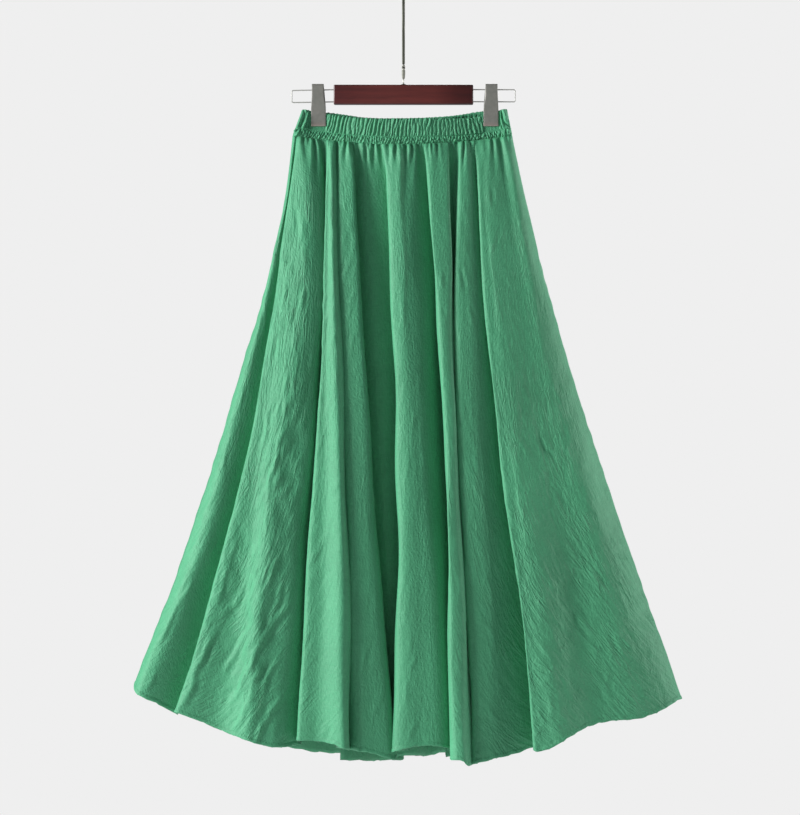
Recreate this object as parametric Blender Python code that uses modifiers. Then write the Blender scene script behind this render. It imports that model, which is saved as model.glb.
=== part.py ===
"""A long flared skirt with a gathered elastic waistband, hung from a clip hanger.

Metres, +Z up, +X to the right as the front is looked at, the front of the skirt towards -Y.
The origin is the point where the rail touches the underside of the hook's crown.
"""

from collections import namedtuple
from math import cos, pi, radians, sin

import bmesh
import bpy
import numpy as np

MM = 0.001
SEAM_GAP = 0.3 * MM  # left between two pieces that are sewn or seated together
ROUND_SIDES = 12  # sides of a turned or drilled shape

# ---------------------------------------------------------------- hanger
BAR_TOP = -185.7 * MM  # the top of the wooden bar, under the crown of the hook
BAR_LENGTH = 198 * MM
BAR_HEIGHT = 28.8 * MM
BAR_THICKNESS = 12 * MM
BAR_ROUNDING = 2 * MM

HOOK_WIRE = 3.5 * MM
HOOK_INNER_RADIUS = 20 * MM
HOOK_TIP_ANGLE = radians(205)
HOOK_TURN_BACK_ANGLE = radians(-45)
HOOK_TURN_BACK_RADIUS = 14 * MM
FERRULE_HEIGHT = 27.7 * MM
FERRULE_RADIUS = 2.3 * MM
PIN_RADIUS = 1.1 * MM
PIN_DEPTH = 9 * MM  # how far the pin goes into the bar
DRILL_SPARE = 1 * MM  # how much deeper a hole is than what goes into it

LOOP_WIRE = 2 * MM
LOOP_REACH = 159.5 * MM  # from the middle of the hanger to the outside of a wire loop
LOOP_UPPER = 7.5 * MM  # the upper run, below the bar's top
LOOP_LOWER = 24.2 * MM
LOOP_CORNER = 4 * MM
LOOP_IN_BAR = 12 * MM

CLIP_CENTRES = {"left": -121.5 * MM, "right": 125 * MM}
CLIP_TOP = BAR_TOP + 0.7 * MM
CLIP_HEIGHT = 60.5 * MM
CLIP_TOP_WIDTH = 17 * MM
CLIP_JAW_WIDTH = 21 * MM
CLIP_LEAF = 1.6 * MM
CLIP_INNER_GAP = 6 * MM
CLIP_ROUNDING = 0.7 * MM
CLIP_EASE = 12.6 * MM  # from the middle of a clip to where the waist starts to open beside it

# ---------------------------------------------------------------- waistband
BAND_HEIGHT = 39 * MM
BAND_WALL = 2.2 * MM
BAND_TOP_LEFT = -143 * MM
BAND_TOP_RIGHT = 146 * MM
BAND_FOOT_LEFT = -157 * MM
BAND_FOOT_RIGHT = 154 * MM
BAND_FOOT_MIDDLE = -272.3 * MM  # height of the seam at the centre front
BAND_SAG = 12 * MM  # how much higher the band is at its ends than at the middle
SAG_POWER = 1.7  # 1 would be a plain V, 2 a parabola
BAND_BACK_RISE = 3.5 * MM  # the back stands a little higher on the right half
BACK_RISE_CENTRE = 80 * MM
BACK_RISE_WIDTH = 45 * MM
BAND_HALF_DEPTH = 12 * MM  # half the opening of the waist, at the middle
PINCH_HALF_DEPTH = 1.3 * MM  # the same under the clips
FOOT_HALF_DEPTH = 3.6 * MM  # the same at the seam below the clips
OPENING_POWER = 1.3  # over 1, the waist stays shut for a little way beside the clips
END_SWELL = 2.2 * MM  # the cloth swells again between a clip and the side seam
END_SWELL_REACH = 8 * MM
BAND_END_ROUND = 5 * MM
GATHERS = 56  # ridges across each half of the waistband
GATHER_RAISE = 2.7 * MM
PINCHED_RAISE = 0.25 * MM
RIDGE_POWER = 0.9  # under 1, the valleys are narrower than the ridges
RidgeWander = namedtuple("RidgeWander", "pitches rate start")
RIDGE_WANDERS = (RidgeWander(0.16, 1.9, 0.0), RidgeWander(0.1, 4.7, 1.0))
PINCH_FADE = (1.5 * MM, 6 * MM)  # beside a jaw the gathers grow back over this stretch
PINCH_RELEASE = (0.7, 0.95)  # and below it over this share of the height
BAND_END_FADE = 4 * MM
COLUMNS_PER_GATHER = 3
BandRow = namedtuple("BandRow", "name share raise_share shift")
BAND_ROWS = (  # share of the height from the top, how much of the raise shows, ridge shift in pitches
    BandRow("rolled top edge", 0.0, 0.25, 0.0),
    BandRow("upper ridges", 0.1, 1.0, 0.0),
    BandRow("lower ridges", 0.6, 1.0, 0.1),
    BandRow("stitch line", 0.7, 0.3, 0.3),
    BandRow("seam to the skirt", 1.0, 0.75, 0.5),
)

# ---------------------------------------------------------------- skirt
SKIRT_WALL = 1.6 * MM
SHORT_GATHER_DEPTH = 2.2 * MM  # short gathers under the seam
SHORT_GATHER_REACH = 0.13  # share of the length where they have died out
SHORT_GATHER_SPREAD = 0.35  # how much deeper or shallower than the next one a gather may be
SHORT_GATHER_ROOM = 8 * MM  # where the cloth lies closer than this to the back, they are shallower
SHORT_GATHER_END_FADE = 0.02  # share of the width beside a side seam
COLUMNS_PER_SHORT_GATHER = 4
BODY_DEPTH = 45 * MM  # half the depth of the hanging skirt at the hem, its folds evened out
BODY_ROUND_POWER = 3  # how suddenly the body closes towards the side seams
BODY_GROWTH = 0.48  # the body deepens fast below the seam and slowly near the hem
FOLD_GROWTH = 0.42  # the folds stand out faster still, since the gathers push them out
HEM_COLUMN = 17 * MM  # widest spacing of the mesh columns along the hem
SEAM_COLUMN = 4.2 * MM  # and along the seam, where the short gathers are
HEM_WEIGHT = 0.6  # how far the columns are spread by the hem's spacing, the rest by the knee's
PANEL_ROWS = 10
ROW_SPREAD = 1.6  # rows lie closer together under the seam
STATIONS = (0.0, 0.1, 0.45, 1.0)  # shares of the length at which a fold line's place is given

# A fold line runs down the cloth from the seam to the hem. Its place across the skirt is given
# at the four stations, its depth is how far it stands off the side-to-side plane at the hem, and
# its low is how far the hem lies under the origin there. All in millimetres, from left to right.
FoldLine = namedtuple("FoldLine", "name seam hip knee hem depth low")
FRONT_LINES = (
    FoldLine("left side", -157.0, -165.5, -235.5, -380, 0, 1045),
    FoldLine("side strip belly", -155.2, -164.3, -229, -362, 18, 1056),
    FoldLine("under the left panel", -153.2, -158, -200, -303, 13, 1076),
    FoldLine("left panel edge", -150.6, -161.5, -211, -322, 37, 1069),
    FoldLine("left panel ridge", -141, -146, -189, -236, 66, 1105),
    FoldLine("left panel flank", -129, -130, -155, -186, 48, 1121),
    FoldLine("under fold A", -113, -106, -116, -141, 17, 1118),
    FoldLine("fold A left edge", -108.5, -110, -122, -153, 55, 1111),
    FoldLine("fold A crest", -103, -103, -106, -118, 78, 1116),
    FoldLine("fold A right edge", -97, -94.5, -87, -77, 62, 1123),
    FoldLine("under fold A right", -92.5, -97, -95, -97, 28, 1123),
    FoldLine("fold B ridge", -84, -82, -68, -42, 54, 1129),
    FoldLine("fold B right edge", -74.5, -69.5, -50, -6, 44, 1136),
    FoldLine("valley C start", -69, -68, -52, -17, 20, 1132),
    FoldLine("valley C rise", -56, -53, -36, -9, 26, 1130),
    FoldLine("under fold D", -29, -18, -5, 9, 10, 1130),
    FoldLine("fold D left edge", -23, -20.5, -11, -5, 58, 1125),
    FoldLine("fold D crest", -12, -7, 5, 18, 77, 1124),
    FoldLine("fold D flank", 5, 11, 25, 48, 54, 1127),
    FoldLine("under fold E", 28, 33, 57, 80, 18, 1134),
    FoldLine("fold E left edge", 33, 30.5, 53, 67, 64, 1134),
    FoldLine("fold E crest", 42, 43, 60, 79, 84, 1136),
    FoldLine("fold E flank", 58, 63, 70, 94, 58, 1144),
    FoldLine("under fold G", 72.5, 78, 81, 107, 22, 1146),
    FoldLine("fold G left edge", 77, 76, 73, 95, 54, 1145),
    FoldLine("fold G crest", 84.5, 84.5, 88, 121, 66, 1136),
    FoldLine("fold G flank", 94, 97, 111, 159, 46, 1127),
    FoldLine("under the right panel", 101, 109, 129, 196, 16, 1119),
    FoldLine("right panel edge", 105, 106, 122, 184, 53, 1126),
    FoldLine("right panel ridge", 117, 120, 146, 226, 68, 1108),
    FoldLine("right panel middle", 136, 147, 200, 310, 50, 1082),
    FoldLine("right side turn", 151.5, 168, 239, 382, 16, 1062),
    FoldLine("right side", 154, 170.5, 245, 395, 0, 1058),
)
BACK_LINES = (
    FoldLine("left side", -157.0, -165.5, -235.5, -380, 0, 1045),
    FoldLine("left side turn", -154.5, -162.5, -229, -366, 16, 1056),
    FoldLine("fold K ridge", -139, -143, -192, -292, 60, 1088),
    FoldLine("fold K flank", -124, -125, -158, -232, 44, 1112),
    FoldLine("under fold M", -112, -107, -124, -172, 14, 1130),
    FoldLine("fold M left edge", -107, -110, -134, -190, 48, 1128),
    FoldLine("fold M crest", -97, -98, -112, -156, 74, 1137),
    FoldLine("fold M right edge", -85, -81, -80, -104, 56, 1144),
    FoldLine("under fold M right", -77, -83, -88, -116, 20, 1144),
    FoldLine("fold N rise", -66, -64, -58, -72, 38, 1148),
    FoldLine("fold N crest", -54, -50, -38, -36, 66, 1153),
    FoldLine("fold N right edge", -42, -36, -18, -4, 52, 1152),
    FoldLine("under fold N", -34, -38, -27, -20, 17, 1150),
    FoldLine("fold P rise", -22, -20, -4, 14, 36, 1149),
    FoldLine("fold P crest", -10, -4, 14, 42, 70, 1149),
    FoldLine("fold P right edge", 4, 10, 34, 74, 54, 1146),
    FoldLine("under fold P", 13, 8, 27, 60, 15, 1146),
    FoldLine("fold Q rise", 28, 26, 48, 90, 40, 1143),
    FoldLine("fold Q crest", 42, 44, 72, 124, 68, 1140),
    FoldLine("fold Q flank", 58, 62, 94, 158, 46, 1134),
    FoldLine("under fold R", 69, 74, 108, 182, 15, 1128),
    FoldLine("fold R left edge", 74, 71, 100, 168, 50, 1130),
    FoldLine("fold R ridge", 88, 90, 126, 204, 70, 1120),
    FoldLine("fold R flank", 108, 114, 166, 266, 46, 1100),
    FoldLine("valley S", 124, 134, 194, 312, 24, 1080),
    FoldLine("right side swell", 142, 154, 222, 354, 30, 1070),
    FoldLine("right side turn", 151.5, 167, 239, 383, 15, 1061),
    FoldLine("right side", 154, 170.5, 245, 395, 0, 1058),
)

SKIRT_COLOUR = (0.082, 0.319, 0.165)
WOOD_COLOUR = (0.115, 0.028, 0.027)
CLIP_COLOUR = (0.19, 0.19, 0.17)
WIRE_COLOUR = (0.45, 0.45, 0.45)
HOOK_COLOUR = (0.13, 0.13, 0.11)


def clear_scene():
    for thing in list(bpy.data.objects):
        bpy.data.objects.remove(thing, do_unlink=True)


def make_collection(name):
    collection = bpy.data.collections.new(name)
    bpy.context.scene.collection.children.link(collection)
    return collection


def make_material(name, colour, roughness, metallic=0.0):
    material = bpy.data.materials.new(name)
    material.use_nodes = True
    shader = material.node_tree.nodes["Principled BSDF"]
    shader.inputs["Base Color"].default_value = (*colour, 1.0)
    shader.inputs["Roughness"].default_value = roughness
    shader.inputs["Metallic"].default_value = metallic
    return material


def add_object(name, data, collection, material=None):
    thing = bpy.data.objects.new(name, data)
    collection.objects.link(thing)
    if material:
        data.materials.append(material)
    return thing


def mesh_from(name, bm):
    bmesh.ops.recalc_face_normals(bm, faces=bm.faces)
    mesh = bpy.data.meshes.new(name)
    bm.to_mesh(mesh)
    bm.free()
    return mesh


def smooth_step(low, high, value):
    share = np.clip((value - low) / (high - low), 0.0, 1.0)
    return share * share * (3.0 - 2.0 * share)


def natural_spline(knots, values, places):
    """A natural cubic spline through values, given at knots, read at places."""
    knots = np.asarray(knots, float)
    values = np.asarray(values, float)
    steps = np.diff(knots)
    slopes = np.diff(values) / steps
    count = len(knots)
    system = np.eye(count)
    right = np.zeros(count)
    for i in range(1, count - 1):
        system[i, i - 1 : i + 2] = steps[i - 1], 2 * (steps[i - 1] + steps[i]), steps[i]
        right[i] = 6 * (slopes[i] - slopes[i - 1])
    bends = np.linalg.solve(system, right)
    span = np.clip(np.searchsorted(knots, places, side="right") - 1, 0, count - 2)
    step = steps[span]
    after = (knots[span + 1] - places) / step
    before = (places - knots[span]) / step
    curve = (after**3 - after) * bends[span] + (before**3 - before) * bends[span + 1]
    return after * values[span] + before * values[span + 1] + curve * step**2 / 6


# ---------------------------------------------------------------- the shape of the waist
def seam_height(x):
    """Height of the seam between the waistband and the skirt: the band sags between the clips."""
    return BAND_FOOT_MIDDLE + BAND_SAG * np.abs(x / BAND_FOOT_RIGHT) ** SAG_POWER


def waist_half_depth(x, low_end, left, right):
    """How far the cloth of the waist stands off the side-to-side plane. low_end is 0 at the top
    of the band, where the clips pinch it, and 1 at the seam under them."""
    pinch = PINCH_HALF_DEPTH + (FOOT_HALF_DEPTH - PINCH_HALF_DEPTH) * smooth_step(0.5, 1.0, low_end)
    inner_left = CLIP_CENTRES["left"] + CLIP_EASE
    inner_right = CLIP_CENTRES["right"] - CLIP_EASE
    across = np.clip((x - inner_left) / (inner_right - inner_left), 0.0, 1.0)
    bulge = (BAND_HALF_DEPTH - pinch) * np.sin(pi * across) ** OPENING_POWER
    beyond = np.maximum(CLIP_CENTRES["left"] - CLIP_EASE - x, 0.0)
    beyond += np.maximum(x - CLIP_CENTRES["right"] - CLIP_EASE, 0.0)
    swell = END_SWELL * smooth_step(0.0, END_SWELL_REACH, beyond)
    from_end = np.minimum(x - left, right - x)
    near_end = np.clip(1.0 - from_end / BAND_END_ROUND, 0.0, 1.0)
    return (pinch + bulge + swell) * np.sqrt(np.maximum(1.0 - near_end**2, 0.0))


def section_normals(x, depth):
    """Unit normals of a section, pointing away from the inside of the skirt."""
    along_x = np.gradient(x)
    along_depth = np.gradient(depth)
    length = np.hypot(along_x, along_depth)
    normal_x = -along_depth / length
    normal_depth = along_x / length
    normal_x[0], normal_depth[0] = -1.0, 0.0
    normal_x[-1], normal_depth[-1] = 1.0, 0.0
    return normal_x, normal_depth


def wall_mesh(name, outer, inner):
    """A closed wall from two grids of points, rows from the top down, columns from left to right."""
    bm = bmesh.new()
    outside = [[bm.verts.new(point) for point in row] for row in outer]
    inside = [[bm.verts.new(point) for point in row] for row in inner]
    rows, columns = len(outer), len(outer[0])
    for r in range(rows - 1):
        for c in range(columns - 1):
            for side in (outside, inside):
                bm.faces.new((side[r][c], side[r][c + 1], side[r + 1][c + 1], side[r + 1][c]))
    for r in (0, rows - 1):
        for c in range(columns - 1):
            bm.faces.new((outside[r][c], outside[r][c + 1], inside[r][c + 1], inside[r][c]))
    for c in (0, columns - 1):
        for r in range(rows - 1):
            bm.faces.new((outside[r][c], outside[r + 1][c], inside[r + 1][c], inside[r][c]))
    return mesh_from(name, bm)


def place_section(x, depth, height, facing):
    """Points of one section. No cloth crosses the side-to-side plane, where the side seams lie."""
    depth = np.maximum(depth, SEAM_GAP / 2)
    depth[0] = depth[-1] = SEAM_GAP / 2
    return [(a, facing * b, c) for a, b, c in zip(x, depth, height)]


# ---------------------------------------------------------------- waistband
def ridge_wave(pitches):
    """Height of the gathers, 0 to 1, narrow valleys between round ridges, a little uneven."""
    uneven = pitches + sum(w.pitches * np.sin(pitches * w.rate + w.start) for w in RIDGE_WANDERS)
    return np.abs(np.sin(pi * uneven)) ** RIDGE_POWER


def waistband_half(name, facing, collection, material):
    """One half of the gathered casing, its ridges raised on the outside over a plain inside."""
    pitches = np.linspace(0.0, GATHERS, GATHERS * COLUMNS_PER_GATHER + 1)
    across = pitches / GATHERS
    outer, inner = [], []
    for row in BAND_ROWS:
        left = BAND_TOP_LEFT + (BAND_FOOT_LEFT - BAND_TOP_LEFT) * row.share
        right = BAND_TOP_RIGHT + (BAND_FOOT_RIGHT - BAND_TOP_RIGHT) * row.share
        x = left + (right - left) * across
        depth = waist_half_depth(x, row.share, left, right)
        height = seam_height(x * BAND_FOOT_RIGHT / right) + BAND_HEIGHT * (1.0 - row.share)
        if facing > 0:
            off_rise = (x - BACK_RISE_CENTRE) / BACK_RISE_WIDTH
            height += BAND_BACK_RISE * (1.0 - row.share) * np.exp(-(off_rise**2))
        raised = GATHER_RAISE * row.raise_share * ridge_wave(pitches + row.shift)
        pinched = np.zeros(len(x))
        for centre in CLIP_CENTRES.values():
            off_clip = np.abs(x - centre) - 0.5 * CLIP_JAW_WIDTH
            pinched = np.maximum(pinched, 1.0 - smooth_step(*PINCH_FADE, off_clip))
        pinched = pinched * (1.0 - smooth_step(*PINCH_RELEASE, row.share))
        raised = raised * (1.0 - pinched) + np.minimum(raised, PINCHED_RAISE) * pinched
        end_fade = smooth_step(0.0, BAND_END_FADE, np.minimum(x - left, right - x))
        normal_x, normal_depth = section_normals(x, depth)
        out = BAND_WALL / 2 + raised * end_fade
        outer.append(place_section(x + normal_x * out, depth + normal_depth * out, height, facing))
        back = BAND_WALL / 2
        inner.append(place_section(x - normal_x * back, depth - normal_depth * back, height, facing))
    return add_object(name, wall_mesh(name, outer, inner), collection, material)


# ---------------------------------------------------------------- skirt panels
def line_places(lines, share):
    """x, depth and height of every fold line at a share of the way from the seam to the hem."""
    x = np.array([natural_spline(STATIONS, line[1:5], np.array([share]))[0] for line in lines]) * MM
    at_seam = np.array([line.seam for line in lines]) * MM
    waist = waist_half_depth(at_seam, 1.0, BAND_FOOT_LEFT, BAND_FOOT_RIGHT)
    at_hem = np.array([line.hem for line in lines])
    body = BODY_DEPTH * (1.0 - np.abs(at_hem / np.abs(at_hem[[0, -1]]).max()) ** BODY_ROUND_POWER)
    body[[0, -1]] = 0.0
    relief = np.array([line.depth for line in lines]) * MM - body
    opened = share**BODY_GROWTH
    depth = waist * (1.0 - opened) + body * opened + relief * share**FOLD_GROWTH
    top = seam_height(at_seam) - SEAM_GAP
    height = top + (-np.array([line.low for line in lines]) * MM - top) * share
    return x, depth, height


def line_spacing(lines, share):
    """Distances between neighbouring fold lines, at a share of the way down."""
    x, depth, _ = line_places(lines, share)
    return np.hypot(np.diff(x), np.diff(depth))


def column_places(lines):
    """Knots of the fold lines along the cloth, and the places of the mesh columns between them."""
    at_seam, at_knee, at_hem = (line_spacing(lines, share) for share in (0.0, STATIONS[2], 1.0))
    lengths = HEM_WEIGHT * at_hem + (1.0 - HEM_WEIGHT) * at_knee * at_hem.sum() / at_knee.sum()
    knots = np.concatenate([[0.0], np.cumsum(lengths)])
    places = [0.0]
    for start, length, seam, hem in zip(knots, lengths, at_seam, at_hem):
        count = max(2, round(hem / HEM_COLUMN), round(seam / SEAM_COLUMN))
        places += [start + length * (i + 1) / count for i in range(count)]
    return knots, np.array(places)


def skirt_panel(name, lines, facing, collection, material):
    """One gathered panel, lofted from the seam to the hem through its fold lines."""
    knots, places = column_places(lines)
    along = places / places[-1]
    column = np.arange(len(places))
    uneven = 1.0 + SHORT_GATHER_SPREAD * np.sin(0.9 * column) * np.sin(0.23 * column + facing)
    gathers = uneven * np.sin(2 * pi * (column + 0.5) / COLUMNS_PER_SHORT_GATHER)
    end_fade = smooth_step(0.0, SHORT_GATHER_END_FADE, np.minimum(along, 1.0 - along))
    outer, inner = [], []
    for row in range(PANEL_ROWS + 1):
        share = (row / PANEL_ROWS) ** ROW_SPREAD
        line_x, line_depth, line_height = line_places(lines, share)
        x = natural_spline(knots, line_x, places)
        depth = natural_spline(knots, line_depth, places)
        height = natural_spline(knots, line_height, places)
        normal_x, normal_depth = section_normals(x, depth)
        fading = 1.0 - smooth_step(0.0, SHORT_GATHER_REACH, share)
        room = np.minimum(1.0, depth / SHORT_GATHER_ROOM)
        wave = SHORT_GATHER_DEPTH * fading * gathers * end_fade * room
        out = wave + SKIRT_WALL / 2
        back = wave - SKIRT_WALL / 2
        outer.append(place_section(x + normal_x * out, depth + normal_depth * out, height, facing))
        inner.append(place_section(x + normal_x * back, depth + normal_depth * back, height, facing))
    return add_object(name, wall_mesh(name, outer, inner), collection, material)


# ---------------------------------------------------------------- hanger
def make_box(name, size, centre, collection, material=None):
    bpy.ops.mesh.primitive_cube_add(size=1, location=centre)
    box = bpy.context.object
    box.name = name
    box.data.name = name
    box.data.transform([[size[0], 0, 0, 0], [0, size[1], 0, 0], [0, 0, size[2], 0], [0, 0, 0, 1]])
    for old in list(box.users_collection):
        old.objects.unlink(box)
    collection.objects.link(box)
    if material:
        box.data.materials.append(material)
    return box


def round_edges(thing, width, segments=2):
    bevel = thing.modifiers.new("rounded edges", "BEVEL")
    bevel.width = width
    bevel.segments = segments
    bevel.limit_method = "ANGLE"


def cut_with(thing, cutter):
    cutter.hide_render = True
    cutter.display_type = "WIRE"
    boolean = thing.modifiers.new("cut by " + cutter.name, "BOOLEAN")
    boolean.operation = "DIFFERENCE"
    boolean.object = cutter


def make_drill(name, radius, depth, centre, turn, collection):
    bpy.ops.mesh.primitive_cylinder_add(
        vertices=ROUND_SIDES, radius=radius, depth=depth, location=centre, rotation=turn
    )
    drill = bpy.context.object
    drill.name = name
    for old in list(drill.users_collection):
        old.objects.unlink(drill)
    collection.objects.link(drill)
    return drill


def make_bar(collection, cutters, material):
    """The flat wooden bar, drilled for the hook's pin and for the ends of the wire loops."""
    size = (BAR_LENGTH, BAR_THICKNESS, BAR_HEIGHT)
    bar = make_box("hanger_bar", size, (0, 0, BAR_TOP - BAR_HEIGHT / 2), collection, material)
    round_edges(bar, BAR_ROUNDING)
    hole = PIN_RADIUS + SEAM_GAP
    depth = 2 * (PIN_DEPTH + DRILL_SPARE)
    cut_with(bar, make_drill("drill_pin", hole, depth, (0, 0, BAR_TOP), (0, 0, 0), cutters))
    hole = LOOP_WIRE / 2 + SEAM_GAP
    depth = 2 * (LOOP_IN_BAR + DRILL_SPARE)
    for side in (-1, 1):
        for run in (LOOP_UPPER, LOOP_LOWER):
            centre = (side * BAR_LENGTH / 2, 0, BAR_TOP - run)
            cut_with(bar, make_drill("drill_wire", hole, depth, centre, (0, pi / 2, 0), cutters))
    return bar


def make_wire(name, points, diameter, collection, material):
    curve = bpy.data.curves.new(name, "CURVE")
    curve.dimensions = "3D"
    curve.bevel_depth = diameter / 2
    curve.bevel_resolution = 2
    curve.use_fill_caps = True
    spline = curve.splines.new("POLY")
    spline.points.add(len(points) - 1)
    for target, point in zip(spline.points, points):
        target.co = (*point, 1.0)
    return add_object(name, curve, collection, material)


def arc(centre_x, centre_z, radius, start, end, steps):
    """Points of an arc in the X-Z plane, angles from +X towards +Z."""
    turns = [start + (end - start) * i / steps for i in range(steps + 1)]
    return [(centre_x + radius * cos(a), 0.0, centre_z + radius * sin(a)) for a in turns]


def make_hook(collection, material):
    """A long straight shank under a round hook, its crown straight above the shank."""
    radius = HOOK_INNER_RADIUS + HOOK_WIRE / 2
    centre_z = -HOOK_INNER_RADIUS
    points = arc(0, centre_z, radius, HOOK_TIP_ANGLE, HOOK_TURN_BACK_ANGLE, 20)
    lean = HOOK_TURN_BACK_ANGLE + pi / 2
    to_shank = points[-1][0] - HOOK_TURN_BACK_RADIUS * (1 - cos(lean))
    bend_z = points[-1][2] - to_shank * cos(lean) / sin(lean) - HOOK_TURN_BACK_RADIUS * sin(lean)
    points += arc(HOOK_TURN_BACK_RADIUS, bend_z, HOOK_TURN_BACK_RADIUS, pi - lean, pi, 5)
    points.append((0.0, 0.0, BAR_TOP + FERRULE_HEIGHT + SEAM_GAP))
    return make_wire("hook", points, HOOK_WIRE, collection, material)


def make_ferrule(collection, material):
    """The turned ferrule under the hook, with the thin pin that goes into the bar."""
    profile = (  # radius and height over the bar, top to bottom
        (0.0, FERRULE_HEIGHT),
        (FERRULE_RADIUS * 0.85, FERRULE_HEIGHT),
        (FERRULE_RADIUS, FERRULE_HEIGHT - 1.5 * MM),
        (FERRULE_RADIUS * 0.8, FERRULE_HEIGHT - 4 * MM),
        (FERRULE_RADIUS, FERRULE_HEIGHT - 6 * MM),
        (FERRULE_RADIUS, 13 * MM),
        (FERRULE_RADIUS * 0.8, 8 * MM),
        (PIN_RADIUS, 7.5 * MM),
        (PIN_RADIUS, -PIN_DEPTH),
        (0.0, -PIN_DEPTH),
    )
    mesh = bpy.data.meshes.new("ferrule")
    points = [(radius, 0, height) for radius, height in profile]
    mesh.from_pydata(points, [(i, i + 1) for i in range(len(points) - 1)], [])
    ferrule = add_object("ferrule", mesh, collection, material)
    ferrule.location = (0, 0, BAR_TOP)
    screw = ferrule.modifiers.new("turned", "SCREW")
    screw.steps = screw.render_steps = ROUND_SIDES
    screw.use_merge_vertices = True
    screw.merge_threshold = 0.00001
    return ferrule


def make_loop(side, collection, material):
    """A wire loop that the clip slides on: two runs out of the bar, joined at the far end."""
    direction = {"left": -1, "right": 1}[side]
    reach = LOOP_REACH - LOOP_WIRE / 2
    start = BAR_LENGTH / 2 - LOOP_IN_BAR
    upper, lower = BAR_TOP - LOOP_UPPER, BAR_TOP - LOOP_LOWER
    points = [(start, 0.0, upper)]
    points += arc(reach - LOOP_CORNER, upper - LOOP_CORNER, LOOP_CORNER, pi / 2, 0, 4)
    points += arc(reach - LOOP_CORNER, lower + LOOP_CORNER, LOOP_CORNER, 0, -pi / 2, 4)
    points.append((start, 0.0, lower))
    points = [(direction * x, y, z) for x, y, z in points]
    return make_wire("wire_loop_" + side, points, LOOP_WIRE, collection, material)


def make_clip(side, collection, cutters, material):
    """A pinch clip: two leaves joined over the upper wire, wider at the jaws."""
    centre_x = CLIP_CENTRES[side]
    depth = CLIP_INNER_GAP + 2 * CLIP_LEAF
    size = (CLIP_TOP_WIDTH, depth, CLIP_HEIGHT)
    clip = make_box("clip_" + side, size, (centre_x, 0, CLIP_TOP - CLIP_HEIGHT / 2), collection, material)
    for vertex in clip.data.vertices:
        if vertex.co.z < 0:
            vertex.co.x *= CLIP_JAW_WIDTH / CLIP_TOP_WIDTH
    round_edges(clip, CLIP_ROUNDING)
    slot_top = BAR_TOP - LOOP_UPPER + LOOP_WIRE / 2 + SEAM_GAP
    slot_foot = CLIP_TOP - CLIP_HEIGHT - 2 * MM
    slot_size = (2 * CLIP_JAW_WIDTH, CLIP_INNER_GAP, slot_top - slot_foot)
    slot = make_box("slot_" + side, slot_size, (centre_x, 0, (slot_top + slot_foot) / 2), cutters)
    cut_with(clip, slot)
    return clip


def main():
    clear_scene()
    skirt = make_collection("skirt_on_clip_hanger")
    cutters = make_collection("cutters")
    cloth = make_material("crinkled green cotton", SKIRT_COLOUR, 0.85)
    wood = make_material("stained wood", WOOD_COLOUR, 0.4)
    grey = make_material("painted clip steel", CLIP_COLOUR, 0.5)
    chrome = make_material("chromed wire", WIRE_COLOUR, 0.25, 1.0)
    steel = make_material("dark hook wire", HOOK_COLOUR, 0.35, 1.0)
    waistband_half("waistband_front", -1, skirt, cloth)
    waistband_half("waistband_back", 1, skirt, cloth)
    skirt_panel("front_panel", FRONT_LINES, -1, skirt, cloth)
    skirt_panel("back_panel", BACK_LINES, 1, skirt, cloth)
    make_bar(skirt, cutters, wood)
    make_hook(skirt, steel)
    make_ferrule(skirt, chrome)
    for side in CLIP_CENTRES:
        make_loop(side, skirt, chrome)
        make_clip(side, skirt, cutters, grey)


main()
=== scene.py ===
from math import atan2, cos, pi, radians, sin

import bpy
import bmesh
import numpy as np
from mathutils import Matrix, Vector


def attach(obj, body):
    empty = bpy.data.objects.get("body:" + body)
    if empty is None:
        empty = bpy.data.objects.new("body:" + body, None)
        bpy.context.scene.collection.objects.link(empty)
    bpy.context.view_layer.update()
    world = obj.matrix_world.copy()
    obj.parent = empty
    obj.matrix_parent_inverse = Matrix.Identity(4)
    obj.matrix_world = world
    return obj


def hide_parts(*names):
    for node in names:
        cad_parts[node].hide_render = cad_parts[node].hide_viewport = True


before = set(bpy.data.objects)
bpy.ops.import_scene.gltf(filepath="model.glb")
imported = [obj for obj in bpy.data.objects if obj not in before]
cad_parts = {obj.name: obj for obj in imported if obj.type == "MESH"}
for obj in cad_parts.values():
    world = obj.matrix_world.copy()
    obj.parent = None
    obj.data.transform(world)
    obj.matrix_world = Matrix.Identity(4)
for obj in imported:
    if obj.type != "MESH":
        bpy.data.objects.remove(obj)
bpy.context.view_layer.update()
mm = 0.001
seamGap = 0.3 * mm


def hexToLinear(text):
    parts = [int(text[i:i + 2], 16) / 255 for i in (1, 3, 5)]
    return tuple(p / 12.92 if p <= 0.04045 else ((p + 0.055) / 1.055) ** 2.4 for p in parts) + (1.0,)


def addNode(tree, kind, values=None, links=None, **settings):
    node = tree.nodes.new(kind)
    for name, value in settings.items():
        setattr(node, name, value)
    for socket, value in (values or {}).items():
        node.inputs[socket].default_value = value
    for socket, source in (links or {}).items():
        tree.links.new(source, node.inputs[socket])
    return node


def reckoned(tree, operation, *values, kind="ShaderNodeMath"):  # each value is a number or a socket
    linked = {i: value for i, value in enumerate(values) if isinstance(value, bpy.types.NodeSocket)}
    plain = {i: value for i, value in enumerate(values) if i not in linked}
    return addNode(tree, kind, plain, linked, operation=operation).outputs[0]


def remapped(tree, source, low, high, toLow=0.0, toHigh=1.0):
    ends = {"From Min": low, "From Max": high, "To Min": toLow, "To Max": toHigh}
    return addNode(tree, "ShaderNodeMapRange", ends, {"Value": source}).outputs[0]


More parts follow.
